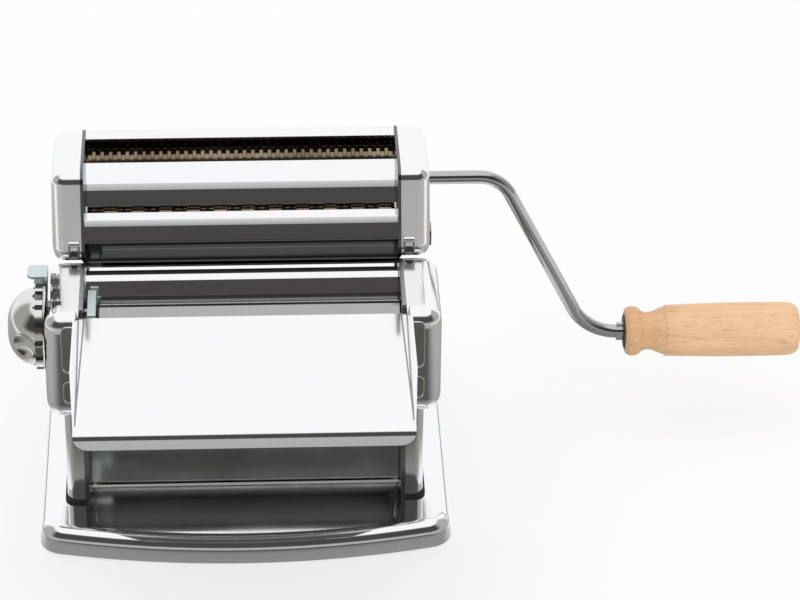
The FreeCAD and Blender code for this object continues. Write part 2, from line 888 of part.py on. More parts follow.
def make_pawl():
    """Lever with a thumb tab, and a tooth bent outward over the rim of the dial."""
    outer = -pawl_inside - pawl_sheet
    bottom = body_top + 0.4
    tab_top = pawl_pivot_height + pawl_tab_rise
    tab_front = pawl_pivot_depth - pawl_tab_front
    tab_rear = tab_front + pawl_tab_length
    points = [
        (pawl_pivot_depth - 4, bottom),
        (tab_front - 0.5, tab_top - 2),
        (tab_front, tab_top),
        (tab_rear, tab_top),
        (tab_rear, tab_top - 2.5),
        (pawl_pivot_depth + 6.5, pawl_pivot_height + 1),
        (pawl_pivot_depth + 6.5, bottom),
    ]
    lever = prism_x(points, [3, 0, 0.5, 1, 1, 2, 1], outer, -pawl_inside)
    middle = -pawl_inside - pawl_sheet / 2
    y0, y1 = y_of(tab_front), y_of(tab_rear)
    tab = block(outer - pawl_tab_reach, middle, y0, y1, tab_top - pawl_sheet, tab_top)
    corners = [e for e in tab.Edges if e.BoundBox.ZLength > 1 and e.BoundBox.XMax < outer]
    tab = tab.makeFillet(3, corners)
    tip = dial_height + dial_radius + pawl_clearance
    tooth = block(-dial_rim_inside - dial_rim - 0.5, middle, dial_y - 1.0, dial_y + 1.0, tip, tip + 3)
    tooth.rotate(V(0, dial_y, dial_height), V(1, 0, 0), -pawl_tooth_angle)
    pawl = lever.fuse([tab, tooth])
    hole = rod_x(pivot_y, pawl_pivot_height, pawl_pin_radius + running_clearance, outer - 1, -pawl_inside + 1)
    return pawl.cut(hole).removeSplitter()


def make_pawl_bracket():
    """Upright plate beside the pawl, on a foot that is fixed to the housing's top."""
    face = pawl_inside - bracket_gap
    points = [
        (pawl_pivot_depth - 15, body_top),
        (pawl_pivot_depth - 14, body_top + 2.5),
        (pawl_pivot_depth - 5, pawl_pivot_height + 4),
        (pawl_pivot_depth + 4, pawl_pivot_height + 4),
        (pawl_pivot_depth + 7, pawl_pivot_height - 2),
        (pawl_pivot_depth + 7, body_top),
    ]
    ear = prism_x(points, [0, 1, 3, 3, 1, 0], -face, bracket_sheet - face)
    foot = block(bracket_sheet / 2 - face, bracket_foot_width - face, y_of(pawl_pivot_depth - 12),
                 y_of(pawl_pivot_depth + 7), body_top, body_top + bracket_sheet)
    bore = pawl_pin_radius + press_clearance
    hole = rod_x(pivot_y, pawl_pivot_height, bore, -face - 1, bracket_sheet - face + 1)
    return ear.fuse(foot).removeSplitter().cut(hole)


def make_pawl_pin():
    """Riveted pin through the bracket, the pawl and the spring."""
    head_face = -pawl_inside - pawl_sheet - running_clearance
    spring_end = spring_start + spring_length + running_clearance
    radius = pawl_pin_radius + pawl_head_margin
    pin = rod_x(pivot_y, pawl_pivot_height, pawl_pin_radius, head_face - pawl_head_height / 2, spring_end)
    heads = [
        rod_x(pivot_y, pawl_pivot_height, radius, head_face - pawl_head_height, head_face),
        rod_x(pivot_y, pawl_pivot_height, radius, spring_end, spring_end + pawl_head_height),
    ]
    return pin.fuse(heads).removeSplitter()


def make_pawl_spring():
    """Torsion coil round the pivot pin, beside the bracket."""
    inner = pawl_pin_radius + seat_gap
    outer = inner + spring_wall
    return tube_x(pivot_y, pawl_pivot_height, outer, inner, spring_start, spring_start + spring_length)


save("pawl", make_pawl())
save("pawl_bracket", make_pawl_bracket())
save("pawl_pin", make_pawl_pin())
save("pawl_spring", make_pawl_spring())


# Feed tray

def make_tray():
    half = tray_width / 2
    profile = [
        V(-half, 0, 0),
        V(-half, -tray_length, 0),
        V(-half, -tray_length, -tray_lip),
        V(-half, -tray_length + tray_sheet, -tray_lip),
        V(-half, -tray_length + tray_sheet, -tray_sheet),
        V(-half, 0, -tray_sheet),
    ]
    radii = [0, tray_lip_round, 0, 0, tray_lip_round - tray_sheet, 0]
    sheet = Part.Face(rounded_wire(profile, radii)).extrude(V(tray_width, 0, 0))
    corner = tray_lip - 1
    corners = []
    for side in (-1, 1):
        x0, x1 = sorted((side * (half - corner), side * (half + 1)))
        front = -tray_length - 1
        cutter = block(x0, x1, front, front + 1 + tray_lip_round, -tray_lip - 1, corner - tray_lip)
        centre = V(side * (half - corner), -tray_length - 2, corner - tray_lip)
        corners.append(cutter.cut(Part.makeCylinder(corner, tray_lip_round + 4, centre, V(0, 1, 0))))
    sheet = sheet.cut(corners)
    walls = []
    for side in (-1, 1):
        wall_start = -tray_rear_depth - tray_wall_gap
        outline = [
            V(side * half, wall_start, -tray_sheet / 2),
            V(side * half, wall_start, tray_wall),
            V(side * half, -tray_length * tray_wall_straight, tray_wall),
            V(side * half, -tray_length * tray_wall_end, -tray_sheet / 2),
        ]
        face = Part.Face(rounded_wire(outline, [0, 2, tray_wall_round, 0]))
        wall = face.extrude(V(-side * tray_sheet, 0, 0))
        wall.rotate(V(side * half, 0, -tray_sheet / 2), V(0, 1, 0), side * tray_wall_lean)
        walls.append(wall)
    tray = sheet.fuse(walls)
    tray.rotate(V(0, 0, 0), V(1, 0, 0), -tray_slope)
    tray.translate(V(0, y_of(tray_rear_depth), tray_rear_height))
    ears = []
    slot_half = tray_rod_radius + seat_gap
    ear_top = tray_rear_height - tray_sheet * 0.4
    for x in (-tray_ear_place, tray_ear_place):
        points = [
            (upper_rod_depth - slot_half - 3.2, lower_rod_height - 4),
            (upper_rod_depth - slot_half - 3.2, ear_top),
            (tray_rear_depth - 0.2, ear_top),
            (upper_rod_depth + slot_half + 2, upper_rod_height + 5),
            (upper_rod_depth + slot_half + 2, upper_rod_height - 2),
            (upper_rod_depth, upper_rod_height - 2),
            (upper_rod_depth, lower_rod_height - 4),
        ]
        ear = prism_x(points, [1, 0, 0, 1, 0, 0, 0], x - tray_ear_sheet / 2, x + tray_ear_sheet / 2)
        y = y_of(upper_rod_depth)
        slot = block(x - 2, x + 2, y - slot_half, y + slot_half, lower_rod_height - 5, upper_rod_height)
        slot = slot.fuse(rod_x(y, upper_rod_height, slot_half, x - 2, x + 2))
        ears.append(ear.cut(slot))
    return tray.fuse(ears).removeSplitter()


save("feed_tray", make_tray())


# Sheet metal between the frames: scrapers, guard over the driven roller, chute and back panel

def make_scrapers():
    """Blades under the two smooth rollers."""
    upper = roller_height - scraper_upper_drop
    lower = roller_height - scraper_lower_drop
    front = [
        (front_roller_depth - scraper_lower_reach, lower),
        (front_roller_depth - scraper_upper_reach, upper),
    ]
    rear = [
        (rear_roller_depth + scraper_upper_reach, upper),
        (rear_roller_depth + scraper_lower_reach, lower),
    ]
    outlines = [strip_points(path, scraper_sheet) for path in (front, rear)]
    return group([plain_prism_x(outline, -fixed_half, fixed_half) for outline in outlines])


def make_guard():
    front = rear_roller_depth - guard_front_reach
    bottom = roller_height + roller_radius + guard_gap
    points = [
        (front, bottom),
        (front, bottom + guard_sheet),
        (front + guard_width, bottom + guard_sheet),
        (front + guard_width, bottom),
    ]
    return prism_x(points, [guard_round] * len(points), -fixed_half, fixed_half)


def arc_sheet(points, thickness, x0, x1):
    """Sheet bent to the arc through three (depth, height) points, thickened away from its centre."""
    corners = [V(x0, y_of(depth), height) for depth, height in points]
    arc = Part.Arc(*corners).toShape()
    centre = arc.Curve.Center
    scale = 1 + thickness / arc.Curve.Radius
    outer = [centre + (corner - centre) * scale for corner in corners]
    edges = [
        arc,
        Part.makeLine(corners[2], outer[2]),
        Part.Arc(*reversed(outer)).toShape(),
        Part.makeLine(outer[0], corners[0]),
    ]
    return Part.Face(Part.Wire(edges)).extrude(V(x1 - x0, 0, 0))


def make_chute():
    points = [
        (chute_front, base_top + chute_front_rise),
        (rear_roller_depth - chute_middle_reach, chute_middle_height),
        (rear_roller_depth + chute_rear_reach, roller_height - chute_top_drop),
    ]
    return arc_sheet(points, chute_sheet, -fixed_half, fixed_half)


def make_rear_panel():
    top = roller_height - panel_top_drop
    y = y_of(panel_depth)
    return block(-fixed_half, fixed_half, y, y + panel_sheet, base_top + seat_gap, top)


save("roller_scrapers", make_scrapers())
save("roller_guard", make_guard())
save("sheet_chute", make_chute())
save("rear_panel", make_rear_panel())


# Cutter head: plates and cases first

head_points = [
    (head_front, head_foot),
    (head_top_front, head_top),
    (narrow_rear_depth + 3.2, narrow_rear_height + 17.1),
    (narrow_rear_depth + 11.5, narrow_rear_height + 9.6),
    (narrow_rear_depth + 11.5, narrow_rear_height - 11.9),
    (wide_rear_depth + 5.5, saddle_height + 0.4),
    (saddle_rear + 0.5, saddle_height + 0.4),
]
head_radii = [case_edge_round + case_step + 0.2] * len(head_points)

cutter_axes = {
    "narrow_driver": (narrow_front_depth, narrow_front_height),
    "narrow_driven": (narrow_rear_depth, narrow_rear_height),
    "wide_driver": (wide_front_depth, wide_front_height),
    "wide_driven": (wide_rear_depth, wide_rear_height),
}
head_bars = [
    (wide_rear_depth + 3, narrow_front_height + 3.5),
    (narrow_rear_depth + 8.2, narrow_rear_height - 13),
]


def plate_bore(name, side):
    if side > 0 and name.endswith("driver"):
        return socket_wall_radius + running_clearance
    return cutter_journal_radius + running_clearance


def make_cutter_plate(side):
    plate = prism_x(head_points, head_radii, frame_inside, case_inside)
    tongue_points = [
        (tongue_depth - tongue_width / 2, saddle_height + 4),
        (tongue_depth + tongue_width / 2, saddle_height + 4),
        (tongue_depth + tongue_width / 2, tongue_slot_floor + seat_gap),
        (tongue_depth - tongue_width / 2, tongue_slot_floor + seat_gap),
    ]
    plate = plate.fuse(prism_x(tongue_points, [0, 0, 1.5, 1.5], frame_inside, case_inside))
    holes = []
    for name, (depth, height) in cutter_axes.items():
        holes.append(rod_x(y_of(depth), height, plate_bore(name, side), frame_inside - 1, case_inside + 1))
    for depth, height in head_bars:
        bore = screw_radius + slot_clearance
        holes.append(rod_x(y_of(depth), height, bore, frame_inside - 1, case_inside + 1))
    plate = plate.cut(holes).removeSplitter()
    return plate if side > 0 else mirrored(plate)


def case_body(inset):
    """Gear case, a step smaller than its plate, drawn in by the sheet thickness for the hollow."""
    points = inset_points(head_points, case_step + inset)
    radii = [r - case_step - inset for r in head_radii]
    outside = case_outside - inset
    body = prism_x(points, radii, case_inside, outside)
    body = round_outer_edges(body, outside, case_edge_round - inset)
    foot = saddle_height - 2
    taper_top = body_top + case_taper_top_rise
    wedge = Part.Face(Part.makePolygon([
        V(outside, -base_depth, taper_top),
        V(outside + case_taper, -base_depth, taper_top),
        V(outside + case_taper, -base_depth, foot),
        V(outside - case_taper, -base_depth, foot),
        V(outside, -base_depth, taper_top),
    ])).extrude(V(0, 2 * base_depth, 0))
    return body.cut(wedge)


def make_gear_case(side):
    case = case_body(0).cut(case_body(case_sheet))
    if side < 0:
        return mirrored(case)
    holes = []
    for name in ("narrow_driver", "wide_driver"):
        depth, height = cutter_axes[name]
        hole = socket_wall_radius + socket_hole_gap
        holes.append(rod_x(y_of(depth), height, hole, case_outside - case_taper - 3, case_outside + 1))
    return case.cut(holes)


def make_cutter_guides():
    """Channels on the side frames that the plates' tongues slide down into."""
    guides = []
    front = tongue_depth - tongue_width / 2 - 0.7
    rear = frame_rear - cover_sheet - 0.9
    floor = tongue_slot_floor - 1.5
    inner = block(frame_inside - 1.2, frame_inside - 0.1, y_of(front), y_of(rear), floor, saddle_height - 1)
    outer = block(frame_outside, frame_outside + 1, y_of(front), y_of(rear), floor, saddle_height - 7.5)
    for piece in (inner, outer):
        guides += [piece, mirrored(piece)]
    return group(guides)


save("cutter_right_plate", make_cutter_plate(1))
save("cutter_left_plate", make_cutter_plate(-1))
save("right_gear_case", make_gear_case(1))
save("left_gear_case", make_gear_case(-1))
save("cutter_guides", make_cutter_guides())


# Cutter rollers: rings of one roller turn in the grooves of its partner

def ring_stack(y, z, sections, sides):
    """Coaxial polygon sections (x0, x1, radius) as one closed solid."""
    def corners(x, radius):
        step = 2 * math.pi / sides
        return [V(x, y + radius * math.cos(i * step), z + radius * math.sin(i * step)) for i in range(sides)]
    def loop(points):
        return Part.makePolygon(points + points[:1])
    faces = [Part.Face(loop(corners(sections[0][0], sections[0][2])))]
    for index, (x0, x1, radius) in enumerate(sections):
        near, far = corners(x0, radius), corners(x1, radius)
        for i in range(sides):
            j = (i + 1) % sides
            faces.append(Part.Face(loop([near[i], far[i], far[j], near[j]])))
        if index + 1 < len(sections):
            after = sections[index + 1][2]
            outer, inner = max(radius, after), min(radius, after)
            faces.append(Part.Face([loop(corners(x1, outer)), loop(corners(x1, inner)[::-1])]))
    faces.append(Part.Face(loop(corners(sections[-1][1], sections[-1][2]))))
    shell = Part.makeShell(faces)
    shell.sewShape()
    solid = Part.makeSolid(shell)
    return solid if solid.Volume > 0 else solid.reversed()


def ring_sections(strip, first, half):
    """Rings one strip wide, less a running clearance, at every second strip, between -half and half."""
    strips = int(2 * half / strip)
    start = -strips * strip / 2
    end = fixed_half - ring_end_gap
    sections = []
    here = -end
    for i in range(first, strips, 2):
        x0 = start + i * strip + ring_side_clearance / 2
        x1 = x0 + strip - ring_side_clearance
        sections += [(here, x0, ring_core_radius), (x0, x1, ring_radius)]
        here = x1
    sections.append((here, end, ring_core_radius))
    return sections


def make_cutter_roller(name, strip, half, sides):
    depth, height = cutter_axes[name]
    y = y_of(depth)
    is_driver = name.endswith("driver")
    sections = ring_sections(strip, 0 if is_driver else 1, half)
    roller = ring_stack(y, height, sections, sides)
    end = sections[-1][1]
    left = rod_x(y, height, cutter_journal_radius, -cutter_gear_left, -end)
    hexagon = cutter_hexagon - 2 * hexagon_clearance
    seat = hexagon_x(y, height, hexagon, -cutter_gear_left - cutter_gear_width - 0.4, -cutter_gear_left)
    if not is_driver:
        return roller.fuse([left, seat, rod_x(y, height, cutter_journal_radius, end, case_inside + 1.8)])
    right = rod_x(y, height, socket_wall_radius, end, cutter_socket_mouth)
    bore = rod_x(y, height, socket_radius, cutter_socket_mouth - socket_depth, cutter_socket_mouth + 1)
    return roller.fuse([left, seat, right.cut(bore)])


def make_cutter_gear(name, phase):
    depth, height = cutter_axes[name]
    right = -cutter_gear_left
    return gear_x(y_of(depth), height, cutter_gear_teeth, cutter_gear_tip, cutter_gear_root, phase,
                  cutter_hexagon, right - cutter_gear_width, right)


cutter_pairs = (
    ("narrow", narrow_strip, narrow_half, narrow_sides, pair_tilt),
    ("wide", wide_strip, wide_half, wide_sides, 0.0),
)
for pair, strip, half, sides, tilt in cutter_pairs:
    for kind in ("driver", "driven"):
        name = pair + "_" + kind
        save(name + "_roller", make_cutter_roller(name, strip, half, sides))
        phase = tilt if kind == "driver" else tilt + math.pi + math.pi / cutter_gear_teeth
        save(name + "_gear", make_cutter_gear(name, phase))


# Cutter head: covers over the rollers, combs below them, and the bars that tie the plates

def sheet_along(path, x0, x1):
    return plain_prism_x(strip_points(path, head_sheet), x0, x1)


def make_head_cover(path):
    return sheet_along(path, -frame_inside, frame_inside)


front_cover_path = [
    (wide_front_depth - 6.5, wide_front_height - 9.4),
    (wide_front_depth - 10.5, wide_front_height - 9.4),
    (wide_front_depth - 10.5, wide_front_height + 3.1),
    (wide_front_depth - 7.9, wide_front_height + 6.9),
    (wide_front_depth - 3.5, wide_front_height + 11.9),
    (wide_front_depth + 1.5, wide_front_height + 13.1),
]
ridge_cover_path = [
    (wide_rear_depth - 2.5, wide_rear_height + 10.1),
    (wide_rear_depth - 1.3, narrow_front_height + 3.5),
    (wide_rear_depth + 1.0, narrow_front_height + 6.8),
    (wide_rear_depth + 5.0, narrow_front_height + 9.7),
    (narrow_front_depth - 2.6, narrow_front_height + 12.2),
]
rear_cover_path = [
    (narrow_rear_depth - 2.5, narrow_rear_height + 14.7),
    (narrow_rear_depth + 3.2, narrow_rear_height + 16.8),
    (narrow_rear_depth + 11.5, narrow_rear_height + 10.1),
    (narrow_rear_depth + 11.5, narrow_rear_height - 9.9),
]


def make_comb(front, rear, top, tab_front, tab_top, strip, first, half):
    """Flat stripper with one tab in each groove of its roller."""
    y0, y1 = y_of(front), y_of(rear)
    comb = block(-frame_inside, frame_inside, y0, y1, top - head_sheet, top)
    strips = int(2 * half / strip)
    start = -strips * strip / 2
    tabs = []
    for i in range(first, strips, 2):
        x0 = start + i * strip + comb_gap
        x1 = x0 + strip - 2 * comb_gap
        y2 = y_of(tab_front)
        tabs.append(block(x0, x1, y2, y2 + head_sheet, top - head_sheet / 2, tab_top))
    return comb.fuse(tabs).removeSplitter()


def make_wide_combs():
    top = wide_front_height - ring_radius - 0.4
    tab_top = wide_front_height - ring_core_radius - 0.8
    front = make_comb(wide_front_depth - 9.7, wide_front_depth + 2.5, top, wide_front_depth + 1.7, tab_top,
                      wide_strip, 1, wide_half)
    rear = make_comb(wide_rear_depth - 1.5, wide_rear_depth + 6.5, top, wide_rear_depth - 1.5, tab_top,
                     wide_strip, 0, wide_half)
    return group([front, rear])


def make_narrow_combs():
    front_top = narrow_front_height - ring_radius - 0.5
    rear_top = narrow_rear_height - ring_radius - 0.5
    front = make_comb(narrow_front_depth - 4.6, narrow_front_depth + 3.4, front_top, narrow_front_depth + 1.8,
                      narrow_front_height - ring_core_radius - 0.8, narrow_strip, 1, narrow_half)
    rear = make_comb(narrow_rear_depth - 2.5, narrow_rear_depth + 10.4, rear_top, narrow_rear_depth - 2.5,
                     narrow_rear_height - ring_core_radius - 0.8, narrow_strip, 0, narrow_half)
    return group([front, rear])


def make_head_bars():
    return group([drilled_bar(depth, height, head_bar_radius) for depth, height in head_bars])


save("front_head_cover", make_head_cover(front_cover_path))
save("ridge_head_cover", make_head_cover(ridge_cover_path))
save("rear_head_cover", make_head_cover(rear_cover_path))
save("wide_combs", make_wide_combs())
save("narrow_combs", make_narrow_combs())
save("head_bars", make_head_bars())


# Crank and its turned handle

def make_crank():
    """Rod bent twice, from the narrow cutter's socket down to the handle."""
    y = y_of(narrow_front_depth)
    top = narrow_front_height
    start = cutter_socket_mouth - socket_depth + 0.5
    corners = [
        V(start, y, top),
        V(crank_first_corner, y, top),
        V(crank_second_corner, y, top - crank_throw),
        V(rod_end, y, top - crank_throw),
    ]
    bends = {1: crank_first_bend, 2: crank_second_bend}
    edges = []
    here = corners[0]
    for i in (1, 2):
        back = (corners[i - 1] - corners[i]).normalize()
        ahead = (corners[i + 1] - corners[i]).normalize()
        half = back.getAngle(ahead) / 2
        reach = bends[i] / math.tan(half)
        into, out = corners[i] + back * reach, corners[i] + ahead * reach
        middle = corners[i] + (back + ahead).normalize() * (bends[i] / math.sin(half) - bends[i])
        edges += [Part.makeLine(here, into), Part.Arc(into, middle, out).toShape()]
        here = out
    edges.append(Part.makeLine(here, corners[-1]))
    section = Part.Wire(Part.makeCircle(rod_radius, corners[0], V(1, 0, 0)))
    rod = Part.Wire(edges).makePipeShell([section], True, False)
    ear_x = grip_start - ear_gap - ear_length
    ears = block(ear_x, ear_x + ear_length, y - ear_sheet / 2, y + ear_sheet / 2,
                 top - crank_throw - ear_reach, top - crank_throw + ear_reach)
    return rod.fuse(ears).removeSplitter()


def make_handle():
    y = y_of(narrow_front_depth)
    z = narrow_front_height - crank_throw
    def at(x, r):
        return V(grip_start + x, y, z + r)
    corners = [
        at(0, 0),
        at(0, grip_bead_radius),
        at(grip_bead_length, grip_bead_radius),
        at(grip_neck_place, grip_neck_radius),
        at(grip_neck_place + 3, grip_neck_radius),
        at(grip_step_place, grip_step_radius),
        at(grip_step_place + 0.6, grip_waist_radius),
        at(grip_length * 0.55, grip_barrel_radius),
        at(grip_length, grip_barrel_radius - 0.2),
        at(grip_length, 0),
    ]
    radii = [0, grip_bead_round, grip_bead_round, 2, 4, 0, 0, 60, grip_end_round, 0]
    edges = rounded_wire(corners, radii).Edges
    handle = Part.Face(Part.Wire(edges)).revolve(V(0, y, z), V(1, 0, 0), 360)
    return handle.cut(rod_x(y, z, rod_radius + running_clearance, grip_start - 1, rod_end + seat_gap))


save("crank_rod", make_crank())
save("crank_handle", make_handle())
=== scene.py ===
import json
import math

import bmesh
import bpy
from mathutils import Matrix, Vector
from mathutils.bvhtree import BVHTree


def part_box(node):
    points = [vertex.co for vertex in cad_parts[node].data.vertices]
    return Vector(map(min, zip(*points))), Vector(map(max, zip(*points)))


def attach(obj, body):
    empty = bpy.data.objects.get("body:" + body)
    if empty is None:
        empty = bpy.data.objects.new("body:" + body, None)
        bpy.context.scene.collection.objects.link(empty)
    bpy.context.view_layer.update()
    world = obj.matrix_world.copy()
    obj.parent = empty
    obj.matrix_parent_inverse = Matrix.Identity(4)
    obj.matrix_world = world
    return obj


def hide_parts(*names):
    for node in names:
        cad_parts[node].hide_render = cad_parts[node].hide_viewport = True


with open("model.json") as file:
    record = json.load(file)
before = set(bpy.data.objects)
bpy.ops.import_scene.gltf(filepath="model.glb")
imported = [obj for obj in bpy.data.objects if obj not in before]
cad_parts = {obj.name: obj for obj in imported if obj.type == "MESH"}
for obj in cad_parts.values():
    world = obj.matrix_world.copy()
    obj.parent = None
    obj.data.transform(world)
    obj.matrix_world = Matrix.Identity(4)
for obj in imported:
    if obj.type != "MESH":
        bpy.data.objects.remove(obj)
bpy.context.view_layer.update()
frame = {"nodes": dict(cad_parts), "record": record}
nodes = frame["nodes"]
slot_of = {part["node"]: part["material_slot"] for part in frame["record"]["subparts"]}
MM = 0.001
sides = {"left": -1, "right": 1}


# Camera: a long lens above the front, turned a little towards the crank

camera_place = Vector((-0.00009, -1.5406, 1.0629))
camera_down = math.radians(32.3)
camera_yaw = math.radians(2.36)
camera_roll = math.radians(-0.9)
camera_lens = 172.0
camera_sensor = 36.0
camera_reach = 50.0


def add_camera():
    ahead = Vector((0, math.cos(camera_down), -math.sin(camera_down)))
    up = Vector((0, math.sin(camera_down), math.cos(camera_down)))
    right = Vector((1, 0, 0))
    turned = ahead * math.cos(camera_yaw) + right * math.sin(camera_yaw)
    right = right * math.cos(camera_yaw) - ahead * math.sin(camera_yaw)
    rolled = right * math.cos(camera_roll) + up * math.sin(camera_roll)
    up = up * math.cos(camera_roll) - right * math.sin(camera_roll)
    data = bpy.data.cameras.new("camera")
    data.lens = camera_lens
    data.sensor_width = camera_sensor
    data.clip_end = camera_reach
    camera = bpy.data.objects.new("camera", data)
    matrix = Matrix((rolled, up, -turned)).transposed().to_4x4()
    matrix.translation = camera_place
    camera.matrix_world = matrix
    bpy.context.collection.objects.link(camera)
    bpy.context.scene.camera = camera


# Node helpers

class Shader:
    """A material's node tree, with short calls to add and join nodes."""

    def __init__(self, name):
        self.material = bpy.data.materials.new(name)
        self.material.use_nodes = True
        self.tree = self.material.node_tree
        self.surface = self.tree.nodes["Principled BSDF"]

    def add(self, kind, **values):
        """Adds a node. Each value goes to the node's property of that name, or else to its socket."""
        node = self.tree.nodes.new(kind)
        for key, value in values.items():
            if hasattr(node, key):
                setattr(node, key, value)
            else:
                node.inputs[key.replace("_", " ")].default_value = value
        return node

    def join(self, source, output, target, socket):
        self.tree.links.new(source.outputs[output], target.inputs[socket])

    def set(self, **values):
        for key, value in values.items():
            self.surface.inputs[key.replace("_", " ")].default_value = value

    def coordinates(self, stretch=(1, 1, 1)):
        place = self.add("ShaderNodeTexCoord")
        mapping = self.add("ShaderNodeMapping", Scale=stretch)
        self.join(place, "Object", mapping, "Vector")
        return mapping

    def noise(self, scale, detail, stretch=(1, 1, 1), distortion=0.0):
        noise = self.add("ShaderNodeTexNoise", Scale=scale, Detail=detail, Distortion=distortion)
        self.join(self.coordinates(stretch), "Vector", noise, "Vector")
        return noise

    def ramp(self, source, output, stops):
        """Colour ramp through stops of (place, colour)."""
        ramp = self.add("ShaderNodeValToRGB")
        elements = ramp.color_ramp.elements
        while len(elements) < len(stops):
            elements.new(0.5)
        for element, (place, colour) in zip(elements, stops):
            element.position = place
            element.color = (*colour, 1)
        self.join(source, output, ramp, "Fac")
        return ramp

    def value_ramp(self, source, output, low, high, start=0.3, stop=0.7):
        """Takes start..stop of a value to low..high."""
        mapped = self.add("ShaderNodeMapRange", From_Min=start, From_Max=stop, To_Min=low, To_Max=high)
        self.join(source, output, mapped, "Value")
        return mapped

    def along(self, axis, start, stop):
        """The place along an axis, from 0 at start to 1 at stop."""
        split = self.add("ShaderNodeSeparateXYZ")
        self.join(self.coordinates(), "Vector", split, "Vector")
        return self.value_ramp(split, axis, 0.0, 1.0, start, stop)

    def multiply(self, first, first_output, second, second_output):
        mix = self.add("ShaderNodeMix", data_type="RGBA", blend_type="MULTIPLY", Factor=1.0)
        self.join(first, first_output, mix, "A")
        self.join(second, second_output, mix, "B")
        return mix

    def bump(self, source, output, strength, distance, after=None):
        bump = self.add("ShaderNodeBump", Strength=strength, Distance=distance)
        self.join(source, output, bump, "Height")
        if after:
            self.join(after, "Normal", bump, "Normal")
        return bump


def metal(name, colour, roughness, spread, bump, grain, stretch=(1, 1, 1), tint=None, heights=None):
    """Metal with smudges in its gloss, a faint waviness and grain along its working direction.

    A tint is a second colour, in patches. Heights are stops of (height in mm, share of the colour),
    for a painted dark reflection on a sheet, darker downwards.
    """
    s = Shader(name)
    s.set(Metallic=1.0, Base_Color=(*colour, 1))
    smudge = s.noise(scale=22.0, detail=3.0)
    gloss = s.value_ramp(smudge, "Fac", roughness, roughness + spread)
    s.join(gloss, "Result", s.surface, "Roughness")
    if tint:
        patches = s.noise(scale=60.0, detail=5.0, stretch=stretch)
        ramp = s.ramp(patches, "Fac", [(0.3, colour), (0.7, tint)])
        s.join(ramp, "Color", s.surface, "Base Color")
    # Painted dark reflection: the colour scaled down by height, in bands
    if heights:
        low, high = heights[0][0], heights[-1][0]
        level = s.along("Z", low * MM, high * MM)
        stops = [((z - low) / (high - low), tuple(c * share for c in colour)) for z, share in heights]
        s.join(s.ramp(level, "Result", stops), "Color", s.surface, "Base Color")
    wave = s.noise(scale=9.0, detail=2.0)
    waviness = s.bump(wave, "Fac", strength=0.12, distance=0.0004)
    lines = s.noise(grain, detail=3.0, stretch=stretch)
    brushed = s.bump(lines, "Fac", strength=bump, distance=0.00003, after=waviness)
    s.join(brushed, "Normal", s.surface, "Normal")
    return s.material


def dull(name, colour, roughness):
    """Rubber or plastic with a fine moulded grain."""
    s = Shader(name)
    s.set(Base_Color=(*colour, 1), Roughness=roughness)
    speck = s.noise(scale=900.0, detail=3.0)
    patches = s.noise(scale=40.0, detail=3.0)
    gloss = s.value_ramp(patches, "Fac", roughness - 0.08, roughness + 0.08)
    s.join(gloss, "Result", s.surface, "Roughness")
    s.join(s.bump(speck, "Fac", strength=0.3, distance=0.0002), "Normal", s.surface, "Normal")
    return s.material


# Between these places along X, in metres, the handle's tone lightens
bead_start = 0.196
grip_middle = 0.270


def beech(name):
    """Turned beech under clear lacquer, darker at its bead end.

    Growth bands, short dark flecks, streaks and fibres run along the grain.
    """
    s = Shader(name)
    s.set(Coat_Weight=0.2, Coat_Roughness=0.3)
    bands = s.noise(scale=30.0, detail=4.0, stretch=(0.2, 1.6, 1.6), distortion=0.7)
    colour = s.ramp(bands, "Fac", [
        (0.28, (0.76, 0.49, 0.28)),
        (0.5, (0.85, 0.58, 0.35)),
        (0.75, (0.90, 0.65, 0.42)),
    ])
    flecks = s.noise(scale=1500.0, detail=2.0, stretch=(0.07, 1, 1))
    dark = s.ramp(flecks, "Fac", [(0.55, (1, 1, 1)), (0.68, (0.80, 0.68, 0.54))])
    flecked = s.multiply(colour, "Color", dark, "Color")
    streaks = s.noise(scale=160.0, detail=3.0, stretch=(0.05, 1, 1))
    warm = s.ramp(streaks, "Fac", [(0.35, (0.93, 0.88, 0.82)), (0.65, (1, 1, 1))])
    streaked = s.multiply(flecked, "Result", warm, "Color")
    tone = s.ramp(s.along("X", bead_start, grip_middle), "Result", [
        (0.0, (0.84, 0.745, 0.645)),
        (0.3, (0.97, 0.95, 0.93)),
        (1.0, (1, 1, 1)),
    ])
    toned = s.multiply(streaked, "Result", tone, "Color")
    s.join(toned, "Result", s.surface, "Base Color")
    fibres = s.noise(scale=600.0, detail=4.0, stretch=(0.08, 1, 1))
    gloss = s.value_ramp(fibres, "Fac", 0.42, 0.56)
    s.join(gloss, "Result", s.surface, "Roughness")
    s.join(s.bump(fibres, "Fac", strength=0.15, distance=0.0002), "Normal", s.surface, "Normal")
    return s.material


chrome_colour = (0.925, 0.93, 0.94)
# Painted dark reflection on the front cover, darker below than the reflection cards alone make it: (height in
# mm, share of the colour)
front_cover_painted_reflection = [
    (113.0, 0.6),
    (113.9, 0.10),
    (117.6, 0.07),
    (118.4, 0.15),
    (122.4, 0.17),
    (122.8, 0.34),
    (123.2, 0.15),
    (126.2, 0.2),
    (126.9, 0.9),
    (127.8, 1.0),
]
